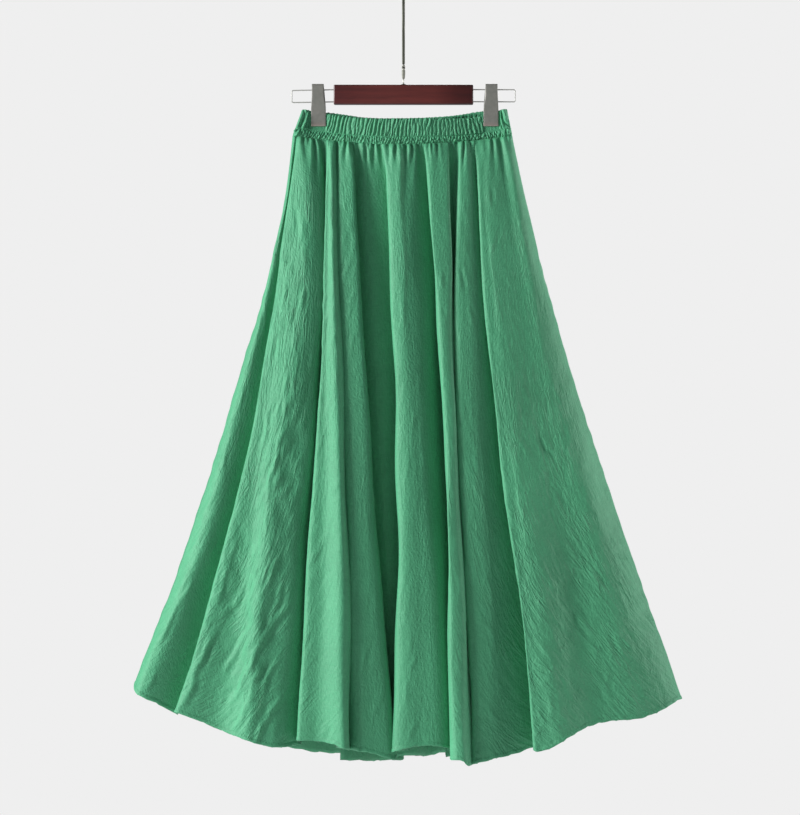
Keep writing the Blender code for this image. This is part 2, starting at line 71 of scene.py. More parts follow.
def stretchedNoise(tree, place, waves, detail, turn=0.0, bend=0.0, roughness=0.5, dimensions="3D"):
    placed = addNode(tree, "ShaderNodeMapping", {"Rotation": (0, 0, turn), "Scale": waves}, {"Vector": place})
    values = {"Scale": 1.0, "Detail": detail, "Roughness": roughness, "Distortion": bend}
    return addNode(tree, "ShaderNodeTexNoise", values, {"Vector": placed.outputs[0]},
                   noise_dimensions=dimensions).outputs[0]


def toneRamp(tree, source, *stops):  # place and colour of each stop, in order
    node = addNode(tree, "ShaderNodeValToRGB", {}, {"Fac": source})
    elements = node.color_ramp.elements
    for place, _ in stops[1:-1]:
        elements.new(place)
    for element, (place, tone) in zip(elements, stops):
        element.position, element.color = place, hexToLinear(tone)
    return node.outputs[0]


def bumped(tree, height, strength, distance, under=None):
    links = {"Height": height, "Normal": under} if under else {"Height": height}
    return addNode(tree, "ShaderNodeBump", {"Strength": strength, "Distance": distance}, links).outputs[0]


def newMaterial(name, colour, roughness, metallic=0.0, **more):
    material = bpy.data.materials.new(name)
    material.use_nodes = True
    shader = material.node_tree.nodes["Principled BSDF"]
    values = {"Base_Color": hexToLinear(colour), "Roughness": roughness, "Metallic": metallic, **more}
    for socket, value in values.items():
        shader.inputs[socket.replace("_", " ")].default_value = value
    return material, material.node_tree, shader


def smoothStep(low, high, value):
    share = np.clip((value - low) / (high - low), 0.0, 1.0)
    return share * share * (3.0 - 2.0 * share)


def splineWeights(knots, places):  # weights of the knots' values in a natural cubic spline read at places
    knots, places = np.asarray(knots, float), np.asarray(places, float)
    steps, count = np.diff(knots), len(knots)
    system, right = np.eye(count), np.zeros((count, count))
    for i in range(1, count - 1):
        system[i, i - 1:i + 2] = steps[i - 1], 2 * (steps[i - 1] + steps[i]), steps[i]
        right[i, i - 1:i + 2] = 6 / steps[i - 1], -6 / steps[i - 1] - 6 / steps[i], 6 / steps[i]
    bends = np.linalg.solve(system, right)
    span = np.clip(np.searchsorted(knots, places, side="right") - 1, 0, count - 2)
    step = steps[span]
    after, before = (knots[span + 1] - places) / step, (places - knots[span]) / step
    plain = np.zeros((len(places), count))
    plain[np.arange(len(places)), span] = after
    plain[np.arange(len(places)), span + 1] += before
    curve = (after ** 3 - after)[:, None] * bends[span] + (before ** 3 - before)[:, None] * bends[span + 1]
    return plain + curve * (step ** 2 / 6)[:, None]


def runLengths(points):  # how far along a row of points each one lies
    return np.concatenate([[0.0], np.cumsum(np.linalg.norm(np.diff(points, axis=0), axis=-1))])


def meshFrom(bm, name):  # with its faces turned outwards
    bmesh.ops.recalc_face_normals(bm, faces=bm.faces)
    mesh = bpy.data.meshes.new(name)
    bm.to_mesh(mesh)
    bm.free()
    return mesh


def addPiece(name, mesh, material, slot, *nodes):
    piece = bpy.data.objects.new(name, mesh)
    bpy.context.scene.collection.objects.link(piece)
    mesh.materials.clear()
    mesh.materials.append(material)
    mesh.shade_smooth()
    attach(piece, "root")
    if nodes:
        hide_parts(*nodes)
    return piece


# the waist: where the cloth of the skirt hangs from and the waistband stands
waist = {
    "height": 39 * mm,
    "topLeft": -143 * mm, "topRight": 146 * mm,
    "footLeft": -157 * mm, "footRight": 154 * mm,
    "footMiddle": -272.3 * mm, "sag": 12 * mm, "sagPower": 1.7,
    "halfDepth": 12 * mm, "pinched": 1.3 * mm, "footPinched": 3.6 * mm,
    "clips": (-121.5 * mm, 125 * mm), "clipEase": 12.6 * mm, "clipWidth": 21 * mm,
    "endSwell": 2.2 * mm, "endRounding": 5 * mm,  # beyond the clips
}


def seamHeight(x):
    return waist["footMiddle"] + waist["sag"] * np.abs(x / waist["footRight"]) ** waist["sagPower"]


def waistHalfDepth(x, lowEnd, left, right):  # lowEnd is 0 at the band's top and 1 at the seam
    clipLeft, clipRight = waist["clips"]
    ease = waist["clipEase"]
    pinch = waist["pinched"] + (waist["footPinched"] - waist["pinched"]) * smoothStep(0.5, 1.0, lowEnd)
    innerLeft, innerRight = clipLeft + ease, clipRight - ease
    across = np.clip((x - innerLeft) / (innerRight - innerLeft), 0.0, 1.0)
    bulge = (waist["halfDepth"] - pinch) * np.sin(pi * across) ** 1.3
    beyond = np.maximum(clipLeft - ease - x, 0.0) + np.maximum(x - clipRight - ease, 0.0)
    swell = waist["endSwell"] * smoothStep(0.0, 8 * mm, beyond)
    nearEnd = np.clip(1.0 - np.minimum(x - left, right - x) / waist["endRounding"], 0.0, 1.0)
    return (pinch + bulge + swell) * np.sqrt(np.maximum(1.0 - nearEnd ** 2, 0.0))


def sectionNormals(x, depth):  # in the level section, away from the inside
    alongX, alongDepth = np.gradient(x, axis=-1), np.gradient(depth, axis=-1)
    length = np.hypot(alongX, alongDepth) + 1e-12
    normalX, normalDepth = -alongDepth / length, alongX / length
    normalX[..., 0], normalDepth[..., 0] = -1.0, 0.0
    normalX[..., -1], normalDepth[..., -1] = 1.0, 0.0
    return normalX, normalDepth


def keepSides(depth):  # no cloth crosses the side-to-side plane, where the side seams lie
    depth = np.maximum(depth, seamGap / 2)
    depth[..., 0] = depth[..., -1] = seamGap / 2
    return depth


def spreadOut(x, depth, height, facing, out, back, step):  # the cloth's outer face and, coarser, its lining
    normalX, normalDepth = sectionNormals(x, depth)
    outer = np.stack([x + normalX * out, facing * keepSides(depth + normalDepth * out), height], axis=-1)
    inner = np.stack([x - normalX * back, facing * keepSides(depth - normalDepth * back), height], axis=-1)
    return outer, inner[::step, ::step]


def clothShell(name, outer, inner, facing, maps, crumple):  # a fine grid outside, a coarser one inside
    rows, columns = outer.shape[:2]
    step = (rows - 1) // (inner.shape[0] - 1)
    fineCount = rows * columns
    fine = np.arange(fineCount).reshape(rows, columns)
    lining = fineCount + np.arange(inner.shape[0] * inner.shape[1]).reshape(inner.shape[:2])
    faces = []
    for grid, turned in ((fine, facing < 0), (lining, facing > 0)):
        quads = np.stack([grid[:-1, :-1], grid[:-1, 1:], grid[1:, 1:], grid[1:, :-1]], axis=-1).reshape(-1, 4)
        faces += (quads[:, ::-1] if turned else quads).tolist()
    rims = [(fine[end], lining[end]) for end in (0, -1)] + [(fine[:, end], lining[:, end]) for end in (0, -1)]
    for edge, inside in rims:
        for i in range(len(inside) - 1):
            fineRun = edge[step * i:step * (i + 1) + 1]
            faces.append([int(v) for v in (*fineRun, inside[i + 1], inside[i])])
    points = np.concatenate([outer.reshape(-1, 3), inner.reshape(-1, 3)])
    mesh = bpy.data.meshes.new(name)
    mesh.from_pydata(points.tolist(), [], faces)
    bm = bmesh.new()
    bm.from_mesh(mesh)
    bmesh.ops.recalc_face_normals(bm, faces=bm.faces)
    bm.to_mesh(mesh)
    bm.free()
    corners = np.zeros(len(mesh.loops), np.int64)
    mesh.loops.foreach_get("vertex_index", corners)
    for label, flat in maps.items():
        places = np.concatenate([flat.reshape(-1, 2), flat[::step, ::step].reshape(-1, 2)])
        mesh.uv_layers.new(name=label).data.foreach_set("uv", places[corners].astype(np.float32).ravel())
    strength = np.concatenate([crumple.ravel(), crumple[::step, ::step].ravel()])
    mesh.attributes.new("crumple", "FLOAT", "POINT").data.foreach_set("value", strength.astype(np.float32))
    return mesh


# cotton voile, plain woven and crinkle washed: matt, with short fibres that lighten its grazing edges,
# sharp little creases that run with the drape, and uneven threads that give it faint streaks both ways
def crinkledCotton(name, look):
    material, tree, shader = newMaterial(name, look["mid"], look["roughness"], Sheen_Weight=look["sheen"],
                                         Sheen_Roughness=0.5, Sheen_Tint=hexToLinear(look["fibre"]),
                                         Specular_IOR_Level=look["gloss"])
    cut = addNode(tree, "ShaderNodeUVMap", uv_map="cut").outputs["UV"]
    drape = addNode(tree, "ShaderNodeUVMap", uv_map="drape").outputs["UV"]
    crumple = addNode(tree, "ShaderNodeAttribute", attribute_name="crumple").outputs["Fac"]

    def patterned(place, across, along, turn=0.0, detail=2.0, bend=0.0):  # with this many waves to the metre
        return stretchedNoise(tree, place, (across, along, 1.0), detail, turn, bend, 0.55, "2D")

    def creased(noise, width):  # a thin fold line wherever the noise crosses its middle
        off = reckoned(tree, "ABSOLUTE", reckoned(tree, "SUBTRACT", noise, 0.5))
        return remapped(tree, off, 0.0, width, 1.0, 0.0)

    threads, waves, pebbles = look["threadsPerMetre"], look["crinklesPerMetre"], look["pebblesPerMetre"]
    warp, weft = patterned(cut, threads, threads / 12), patterned(cut, threads / 12, threads)
    weave = reckoned(tree, "ADD", warp, weft)
    long = creased(patterned(drape, waves, waves / 9, bend=0.5), 0.11)
    slant = creased(patterned(drape, waves * 0.8, waves / 7, 0.5, bend=0.5), 0.09)
    counter = creased(patterned(drape, waves * 0.7, waves / 7, -0.6, bend=0.5), 0.07)
    patches = remapped(tree, patterned(cut, 20, 11, detail=1.0), 0.4, 0.6, 0.15, 1.0)
    others = remapped(tree, patterned(cut, 17, 14, 0.7, 1.0), 0.4, 0.6, 1.0, 0.15)
    slanting = reckoned(tree, "MULTIPLY", reckoned(tree, "ADD", slant, counter), others)
    lines = reckoned(tree, "ADD", reckoned(tree, "MULTIPLY", long, patches), slanting)
    facetPlace = addNode(tree, "ShaderNodeMapping",
                         {"Rotation": (0, 0, 0.15), "Scale": (waves * 1.6, waves * 0.55, 1.0)},
                         {"Vector": drape}).outputs[0]
    facets = addNode(tree, "ShaderNodeTexVoronoi", {"Scale": 1.0, "Detail": 1.0, "Randomness": 1.0},
                     {"Vector": facetPlace}, voronoi_dimensions="2D").outputs[0]
    raised = reckoned(tree, "ADD", lines, reckoned(tree, "MULTIPLY", facets, 0.9))
    crinkles = reckoned(tree, "MULTIPLY", raised, remapped(tree, crumple, 0.0, 1.5, 0.12, 1.5))

    tone = toneRamp(tree, reckoned(tree, "MULTIPLY", weave, 0.5), (0.34, look["dark"]), (0.66, look["light"]))
    faded = remapped(tree, patterned(cut, 9, 7, detail=3.0), 0.3, 0.7, 0.94, 1.05)
    colour = reckoned(tree, "MULTIPLY", tone, faded, kind="ShaderNodeVectorMath")
    tree.links.new(colour, shader.inputs["Base Color"])
    woven = bumped(tree, weave, *look["weaveBump"])
    pebbly = patterned(cut, pebbles, pebbles * 0.6, detail=2.5)
    pebbled = bumped(tree, pebbly, *look["pebbleBump"], woven)
    folded = bumped(tree, crinkles, *look["crinkleBump"], pebbled)
    tree.links.new(folded, shader.inputs["Normal"])
    return material


clothLook = {
    "dark": "#399268", "mid": "#3f996d", "light": "#45a073", "fibre": "#a6e0c0",
    "roughness": 0.66, "sheen": 0.3, "gloss": 0.7,
    "threadsPerMetre": 900,  # real threads lie 0.5 mm apart, drawn 1.1 mm apart so that they show
    "crinklesPerMetre": 110,
    "pebblesPerMetre": 330,
    # strength and depth of the relief
    "weaveBump": (0.2, 0.35 * mm), "pebbleBump": (0.36, 2.0 * mm), "crinkleBump": (0.76, 0.55 * mm),
}
cottonCloth = crinkledCotton("crinkleWashedCottonVoile", clothLook)
cottonBand = crinkledCotton("gatheredCottonVoile", {**clothLook, "crinkleBump": (0.6, 0.55 * mm)})

print("waistband")
band = {
    "wall": 2.2 * mm, "ridges": 56, "columnsPerRidge": 10, "rows": 64,
    "raise": 2.8 * mm, "pinchedRaise": 0.25 * mm,
    "stitchLine": 0.69,  # share of the height
    "foldedTop": 0.06, "foldedRows": 6,  # share of the height where the rows stand closer
    "backRoll": 3.2 * mm,  # how far the back's top rolls forwards where the waist stands open
    "foldLift": 1.1 * mm, "liningSink": 1.8 * mm, "fullerEnds": 0.7,
    "stripHang": 2.3, "stripLift": 0.2,  # how the lower strip hangs over the seam, in millimetres
    "cutLength": 0.62, "crumple": 0.4,
    # how far the folded top lies below the plain line, by place: front half and back half
    "topDrop": ((-130, 0, 0), (-109, 1.6, 0), (-83, 3.2, 0.6), (-59, 3.6, 1.8), (-26, 2.8, 1), (0, 2.2, 0.2),
                (23, 2.2, 0.2), (46, 3.6, 0.4), (80, 6.2, 0.3), (105, 6.6, -1.2), (118, 4, -1.2),
                (136, 0, 0)),
}


def slowWander(places, seed, count=5, rate=1.0):  # smooth and repeatable, about -1 to 1
    rng = np.random.default_rng(seed)
    total = np.zeros_like(places, dtype=float)
    for _ in range(count):
        wave = np.sin(places * rate * rng.uniform(0.5, 2.4) + rng.uniform(0, 2 * pi))
        total += wave * rng.uniform(0.5, 1.0)
    return total / (0.75 * count ** 0.5 + 0.5)


def bandRelief(ridge, share, seed):  # 0 in valleys to 1 on ridges, and the lower strip alone
    def wander(number, rate, shift=0.0):
        return slowWander(ridge + shift, seed + number, rate=rate)

    line = band["stitchLine"]
    lean = (0.55 * np.sin(ridge * 0.115 + seed) + 0.7 * wander(7, 0.35)) * (share - 0.35)
    sway = 0.26 * wander(0, 1.1) + lean + 0.13 * np.sin(share * 8 + 2.2 * wander(1, 0.9))
    upper = np.abs(np.sin(pi * (ridge + sway))) ** 0.65
    split = np.abs(np.sin(pi * (2 * (ridge + sway) + 0.25))) ** 0.8  # some ridges part in two
    parting = smoothStep(0.45, 0.9, wander(2, 1.6)) * smoothStep(0.1, 0.5, share)
    upper = upper * (1 - 0.6 * parting * (1 - split))
    upper *= 0.82 + 0.28 * wander(3, 3.0) + 0.12 * wander(8, 4.0, 3 * share)
    low = np.clip((share - line) / (1 - line), 0.0, 1.0)  # below the stitches the gathers cross and knot
    slant = 0.8 * low * (1.0 - 1.7 * smoothStep(0.1, 0.5, wander(4, 0.45)))
    braid = np.abs(np.sin(pi * (1.4 * ridge + slant + 0.3 * wander(5, 1.3)))) ** 0.8
    knots = 0.72 + 0.28 * np.sin(2 * pi * (low * 1.6 + 0.9 * wander(9, 2.2)))
    braid *= (0.85 + 0.28 * wander(6, 3.3)) * (0.35 + 0.65 * np.sin(pi * low ** 0.8)) * knots
    below = smoothStep(line - 0.012, line + 0.012, share)
    relief = upper * (1 - below) + braid * below
    return relief * (1.0 - 0.8 * np.exp(-((share - line) / 0.018) ** 2)), braid


def underClips(x, share):  # 1 where a clip pinches the band and 0 beside it
    pinched = np.zeros_like(x)
    for centre in waist["clips"]:
        offClip = np.abs(x - centre) - waist["clipWidth"] / 2
        pinched = np.maximum(pinched, 1.0 - smoothStep(0.4 * mm, 2.6 * mm, offClip))
    return pinched * (1.0 - smoothStep(0.66, 0.78, share))


def makeWaistbandHalf(name, facing, node, seed):
    columns = band["ridges"] * band["columnsPerRidge"]
    ridge = np.linspace(0.0, band["ridges"], columns + 1)[None, :]
    closeRows = np.linspace(0.0, band["foldedTop"], band["foldedRows"] + 1)[:-1]
    plainRows = np.linspace(band["foldedTop"], 1.0, band["rows"] - band["foldedRows"] + 1)
    share = np.concatenate([closeRows, plainRows])[:, None]
    left = waist["topLeft"] + (waist["footLeft"] - waist["topLeft"]) * share
    right = waist["topRight"] + (waist["footRight"] - waist["topRight"]) * share
    x = left + (right - left) * ridge / band["ridges"]
    depth = waistHalfDepth(x, share, left, right)
    if facing > 0:
        rolled = np.minimum(0.85 * np.maximum(depth - 0.8 * mm, 0.0), band["backRoll"])
        depth = depth - rolled * (1.0 - smoothStep(0.0, 0.17, share))
    height = seamHeight(x * waist["footRight"] / right) + waist["height"] * (1.0 - share)
    at, front, back = np.array(band["topDrop"], float).T
    drop = splineWeights(at, np.clip(x / mm, at[0], at[-1]).ravel()) @ (front if facing < 0 else back)
    height = height - drop.reshape(x.shape) * mm * (1.0 - share)

    relief, braid = bandRelief(ridge, share, seed)
    pinched = underClips(x, share)
    raised = band["raise"] * relief
    raised = raised * (1.0 - pinched) + np.minimum(raised, band["pinchedRaise"]) * pinched
    fromEnds = np.minimum(x - left, right - x)
    fuller = 1.0 + band["fullerEnds"] * (1.0 - smoothStep(6 * mm, 16 * mm, fromEnds))
    raised = raised * smoothStep(0.0, 1.8 * mm, fromEnds) * fuller
    rolledTop = np.sqrt(1.0 - np.clip(1.0 - share / 0.05, 0.0, 1.0) ** 2)  # folded over the elastic
    tuckedFoot = 1.0 - 0.75 * smoothStep(0.86, 1.0, share) ** 1.5
    out = (band["wall"] / 2 + raised) * rolledTop * tuckedFoot
    # the ridges stand up at the fold, and the lower strip hangs a little over the seam
    height = height + band["foldLift"] * relief * (1.0 - smoothStep(0.0, 0.12, share)) * (1.0 - pinched)
    hang = band["stripHang"] * braid - band["stripLift"]
    height = height - mm * hang * smoothStep(0.86, 1.0, share)
    sunk = band["liningSink"] * relief * smoothStep(0.03, 0.12, share) * (1.0 - pinched)
    back = band["wall"] / 2 * (0.35 + 0.65 * rolledTop) - sunk
    outer, inner = spreadOut(x, depth, height, facing, out, back, 2)
    flat = np.broadcast_arrays(ridge / band["ridges"] * band["cutLength"], -share * waist["height"])
    flat = np.stack(flat, axis=-1)
    crumple = np.full(x.shape, band["crumple"])
    mesh = clothShell(name, outer, inner, facing, {"cut": flat, "drape": flat}, crumple)
    piece = addPiece(name, mesh, cottonBand, "waistband_cloth", node)
    return piece, outer, share


bandFront, bandFrontGrid, bandShares = makeWaistbandHalf("waistbandFront", -1, "waistband_front", 11)
bandBack, bandBackGrid, _ = makeWaistbandHalf("waistbandBack", 1, "waistband_back", 23)

print("skirt")
skirt = {
    "wall": 1.1 * mm, "columns": 432, "liningStep": 4,
    "bodyDepth": 45 * mm, "bodyGrowth": 0.48, "foldGrowth": 0.42, "hemWeight": 0.6,
    "stations": (0.0, 0.1, 0.45, 0.75, 1.0),
    "hemTurn": 5.5 * mm, "hemThickness": 0.5 * mm, "hemPull": 0.35 * mm, "hemRounding": 1.2 * mm,
    "sewnUp": 1.6 * mm, "sideWaver": 0.8 * mm, "foldWander": 1.1 * mm,
    "creaseWidth": 0.88, "creaseHeight": 1.05,  # factors on the tables of creases
    "cutWidth": 1.1, "mapCell": 1.6 * mm,
    "hemRows": (8.5, 6.5, 5.5, 4.5, 2.6, 1.2, 0.5, 0.0),  # the last rows above the edge, in millimetres
    "hemWaves": ((40, 0.04, 1.9), (41, 0.17, 0.8), (42, 0.5, 0.35)),  # seed, rate and millimetres
    # small crinkles: how many, then lengths, half widths, heights and bow in millimetres, lean in radians
    "crinkles": 1900, "crinkleLengths": (14, 60), "crinkleWidths": (2.6, 4.6),
    "crinkleHeights": (0.2, 0.6), "crinkleBow": 1.2, "crinkleLean": 0.16,
    # random factors on the tables of gathers, and how the cloth puffs out under its dip at the seam
    "gatherReaches": (0.6, 1.25), "gatherWidths": (0.65, 1.3), "gatherDepths": (0.8, 2.1),
    "puff": 1.6 * mm, "puffReach": 30 * mm, "dip": 2.4 * mm, "dipReach": 3.0 * mm,
    # how crumpled the cloth is, by place along the hem: upper half and lower half
    "crumple": ((-395, 0.7, 0.6), (-325, 0.85, 0.65), (-230, 1, 1), (-165, 0.8, 0.8), (-145, 0.6, 0.35),
                (-85, 0.6, 0.3), (-60, 0.3, 0.45), (-15, 0.25, 0.3), (0, 0.25, 0.2), (60, 0.2, 0.25),
                (95, 0.2, 0.8), (190, 0.25, 1.05), (290, 0.35, 1.15), (395, 0.45, 1)),
}

# fold lines from left to right: place at the five stations, depth off the side plane that a line's upper
# and lower part tend to, and how far its hem lies under the rail, in millimetres
frontFolds = (
    (-157, -166.5, -235.5, -308.5, -382, 0, 0, 1037),  # left side
    (-155, -164.5, -229, -296, -375, 22, 27, 1050),
    (-153, -161.5, -212, -273.5, -344, 17, 21, 1065),
    (-152, -158.5, -197, -257.5, -318, 12, 13, 1078),
    (-150.5, -161.5, -204, -260.5, -322, 32, 37, 1073),  # left panel
    (-147, -152.5, -192.5, -229.5, -270.5, 51.5, 38.5, 1094),
    (-135.5, -131.5, -160, -196.5, -221, 66, 60, 1110),
    (-125.5, -118.5, -137, -174, -198, 56, 56, 1117),
    (-120, -112, -125.5, -152.5, -172.5, 42, 50, 1122),
    (-113.5, -106, -115.5, -135.5, -142.5, 14, 30, 1119),
    (-108.5, -110, -119.5, -136.5, -147.5, 54, 56, 1111),  # fold A
    (-105, -106, -110, -114.5, -120, 61, 58, 1112),
    (-101, -98.5, -90, -83, -83, 71, 75, 1121),
    (-97, -93.5, -84, -76.5, -74.5, 56, 64, 1124),
    (-92.5, -97, -93, -90, -94, 16, 28, 1123),
    (-88, -92.5, -84, -76.5, -67.5, 55, 59.5, 1126),  # fold B
    (-80, -79, -66.5, -56, -42, 62.5, 60.5, 1131),
    (-72.5, -67.5, -49, -30.5, -10.5, 53, 49, 1136),
    (-70, -69, -53, -31, -19, 12, 10, 1132),  # valley C
    (-56, -53, -36, -20, -9, 20, 12, 1130),
    (-29, -18, -5, 2, 9, 8, 6, 1130),
    (-23, -20, -9, -8.5, -14, 60.5, 59.5, 1125),  # fold D
    (-14, -10.5, -1.5, 0.5, -2, 66.5, 65, 1121),
    (-2, 0.5, 18, 26.5, 29, 65, 63, 1120),
    (10.5, 15.5, 33.5, 49, 59, 54, 57, 1122),
    (33.5, 41, 61, 74.5, 83, 15, 15, 1134),
    (35.5, 38.5, 58, 65.5, 72.5, 68.5, 77, 1137),  # fold E
    (43.5, 46, 63, 71.5, 81.5, 71, 78, 1138),
    (56, 59, 69, 80, 87.5, 70, 76, 1143),
    (62, 64, 73, 88, 94.5, 56, 60, 1145),
    (69.5, 73, 80, 100, 104.5, 20, 34, 1146),
    (79.5, 76, 73, 89, 95, 59, 60.5, 1145),  # fold G
    (87.5, 86, 93, 114.5, 121.5, 67.5, 61.5, 1137),
    (96, 100, 118, 140, 158.5, 55.5, 46, 1130),
    (102, 111.5, 141.5, 177, 201, 30, 32, 1119),
    (106, 108.5, 130.5, 163.5, 185.5, 63, 63, 1126),  # right panel
    (109.5, 112, 135, 167.5, 190.5, 63.5, 63, 1125),
    (117, 120.5, 148.5, 185.5, 219.5, 64, 64, 1112),
    (131.5, 141.5, 182.5, 231, 265, 55, 46, 1092),
    (137.5, 150, 201, 257.5, 293, 51, 42, 1086),
    (144, 158.5, 218, 289, 336, 47, 38, 1080),
    (151.5, 168.5, 240, 313, 383, 18, 15, 1062),
    (154, 171, 245.5, 325, 395, 0, 0, 1058),  # right side
)
backFolds = (
    (-157, -166.5, -235.5, -308.5, -382, 0, 0, 1037),  # left side
    (-154.5, -162.5, -228, -299, -366, 16, 16, 1056),
    (-139, -143, -192, -247.5, -292, 60, 60, 1088),  # fold K
    (-124, -125, -158, -195, -232, 44, 44, 1112),
    (-112, -107, -124, -151, -172, 14, 14, 1130),
    (-107, -110, -134, -161.5, -190, 48, 48, 1128),  # fold M
    (-97, -98, -112, -132, -156, 74, 74, 1137),
    (-85, -81, -78, -78, -80, 56, 56, 1144),
    (-77, -83, -86, -88, -91, 20, 20, 1146),
    (-66, -64, -57, -56, -56, 38, 38, 1150),  # fold N
    (-54, -50, -37, -32, -28, 66, 66, 1153),
    (-42, -36, -18, -8, -2, 52, 52, 1149),
    (-34, -38, -27, -21.5, -19, 17, 17, 1147),
    (-22, -20, -4, 6, 14, 36, 36, 1141),  # fold P
    (-10, -4, 14, 27, 42, 70, 70, 1146),
    (4, 10, 34, 54, 74, 54, 54, 1140),
    (13, 8, 27, 49, 60, 15, 15, 1142),
    (28, 26, 48, 71.5, 90, 40, 40, 1143),  # fold Q
    (42, 44, 72, 99.5, 124, 68, 68, 1140),
    (58, 62, 94, 129, 158, 46, 46, 1134),
    (69, 74, 108, 147.5, 182, 15, 15, 1128),
    (74, 71, 100, 138, 168, 50, 50, 1130),  # fold R
    (88, 90, 126, 170.5, 204, 70, 70, 1120),
    (108, 114, 166, 218.5, 266, 46, 46, 1100),
    (124, 134, 194, 256.5, 312, 24, 24, 1080),
    (142, 154, 222, 291.5, 354, 30, 30, 1070),
    (151.5, 167, 239, 315, 383, 15, 15, 1061),
    (154, 171, 245.5, 325, 395, 0, 0, 1058),  # right side
)

# gathers under the seam: place along the seam, width, depth and reach down, in millimetres
frontGathers = (
    (-151.2, 2.6, 1.6, 70), (-142.7, 3, 2, 55), (-135, 2.4, 1.2, 40), (-127.1, 3.2, 2.2, 60),
    (-118, 2.6, 1.3, 45), (-110, 2.6, 1.6, 60), (-94.4, 2.8, 1.8, 55), (-87, 2.2, 1.2, 28),
    (-81.6, 2.4, 1.6, 45), (-73.1, 2.6, 1.8, 50), (-64.6, 3, 2.6, 80), (-54.7, 2.6, 1.9, 50),
    (-49, 2, 1.2, 26), (-43.3, 2.6, 2.2, 60), (-33.4, 3, 2.6, 75), (-22, 2.8, 2.4, 60), (-16, 2, 1.3, 24),
    (-10.6, 2.4, 1.5, 34), (-4, 2, 1.1, 22), (2.1, 2.8, 2.4, 70), (12.1, 2.6, 2, 45), (20.6, 2.8, 2.4, 60),
    (27, 2.2, 1.4, 30), (35.4, 2.6, 2.2, 60), (40.6, 2, 2.4, 50), (47.6, 2.8, 2.8, 70), (54, 2.2, 2.2, 45),
    (60.8, 2.6, 2.4, 60), (69, 2.2, 1.4, 34), (76, 3, 2.4, 70), (85.9, 2.6, 1.6, 45), (94.4, 2.8, 2.2, 65),
    (104.4, 2.8, 1.8, 50), (111, 2.2, 1.2, 30), (115.7, 2.6, 1.6, 60), (125.7, 3, 1.7, 80),
    (137, 3, 1.6, 90), (146, 2.6, 1.4, 60),
)
backGathers = (
    (-149, 2.8, 1.6, 60), (-139, 3, 1.9, 75), (-131, 2.4, 1.4, 40), (-121, 3, 2.1, 60),
    (-111, 2.6, 1.6, 45), (-103, 2.4, 1.4, 30), (-93, 2.8, 2.2, 65), (-86, 2.2, 1.3, 30), (-76, 3, 2.4, 80),
    (-67, 2.6, 1.7, 40), (-59, 2.4, 1.4, 30), (-49, 2.8, 2.2, 60), (-38, 3, 2.5, 75), (-30, 2.2, 1.4, 30),
    (-21, 2.6, 2, 50), (-12, 2.4, 1.5, 35), (-2, 2.8, 2.3, 65), (8, 2.6, 1.8, 45), (17, 3, 2.5, 80),
    (25, 2.2, 1.3, 30), (35, 2.6, 1.9, 50), (46, 2.8, 2.2, 60), (53, 2.2, 1.3, 28), (63, 2.8, 2.2, 70),
    (72, 3, 2.4, 75), (81, 2.4, 1.5, 35), (91, 2.6, 1.8, 50), (100, 2.4, 1.5, 40), (111, 3, 2.2, 70),
    (121, 2.6, 1.7, 50), (131, 2.8, 1.8, 60), (143, 2.8, 1.6, 80),
)

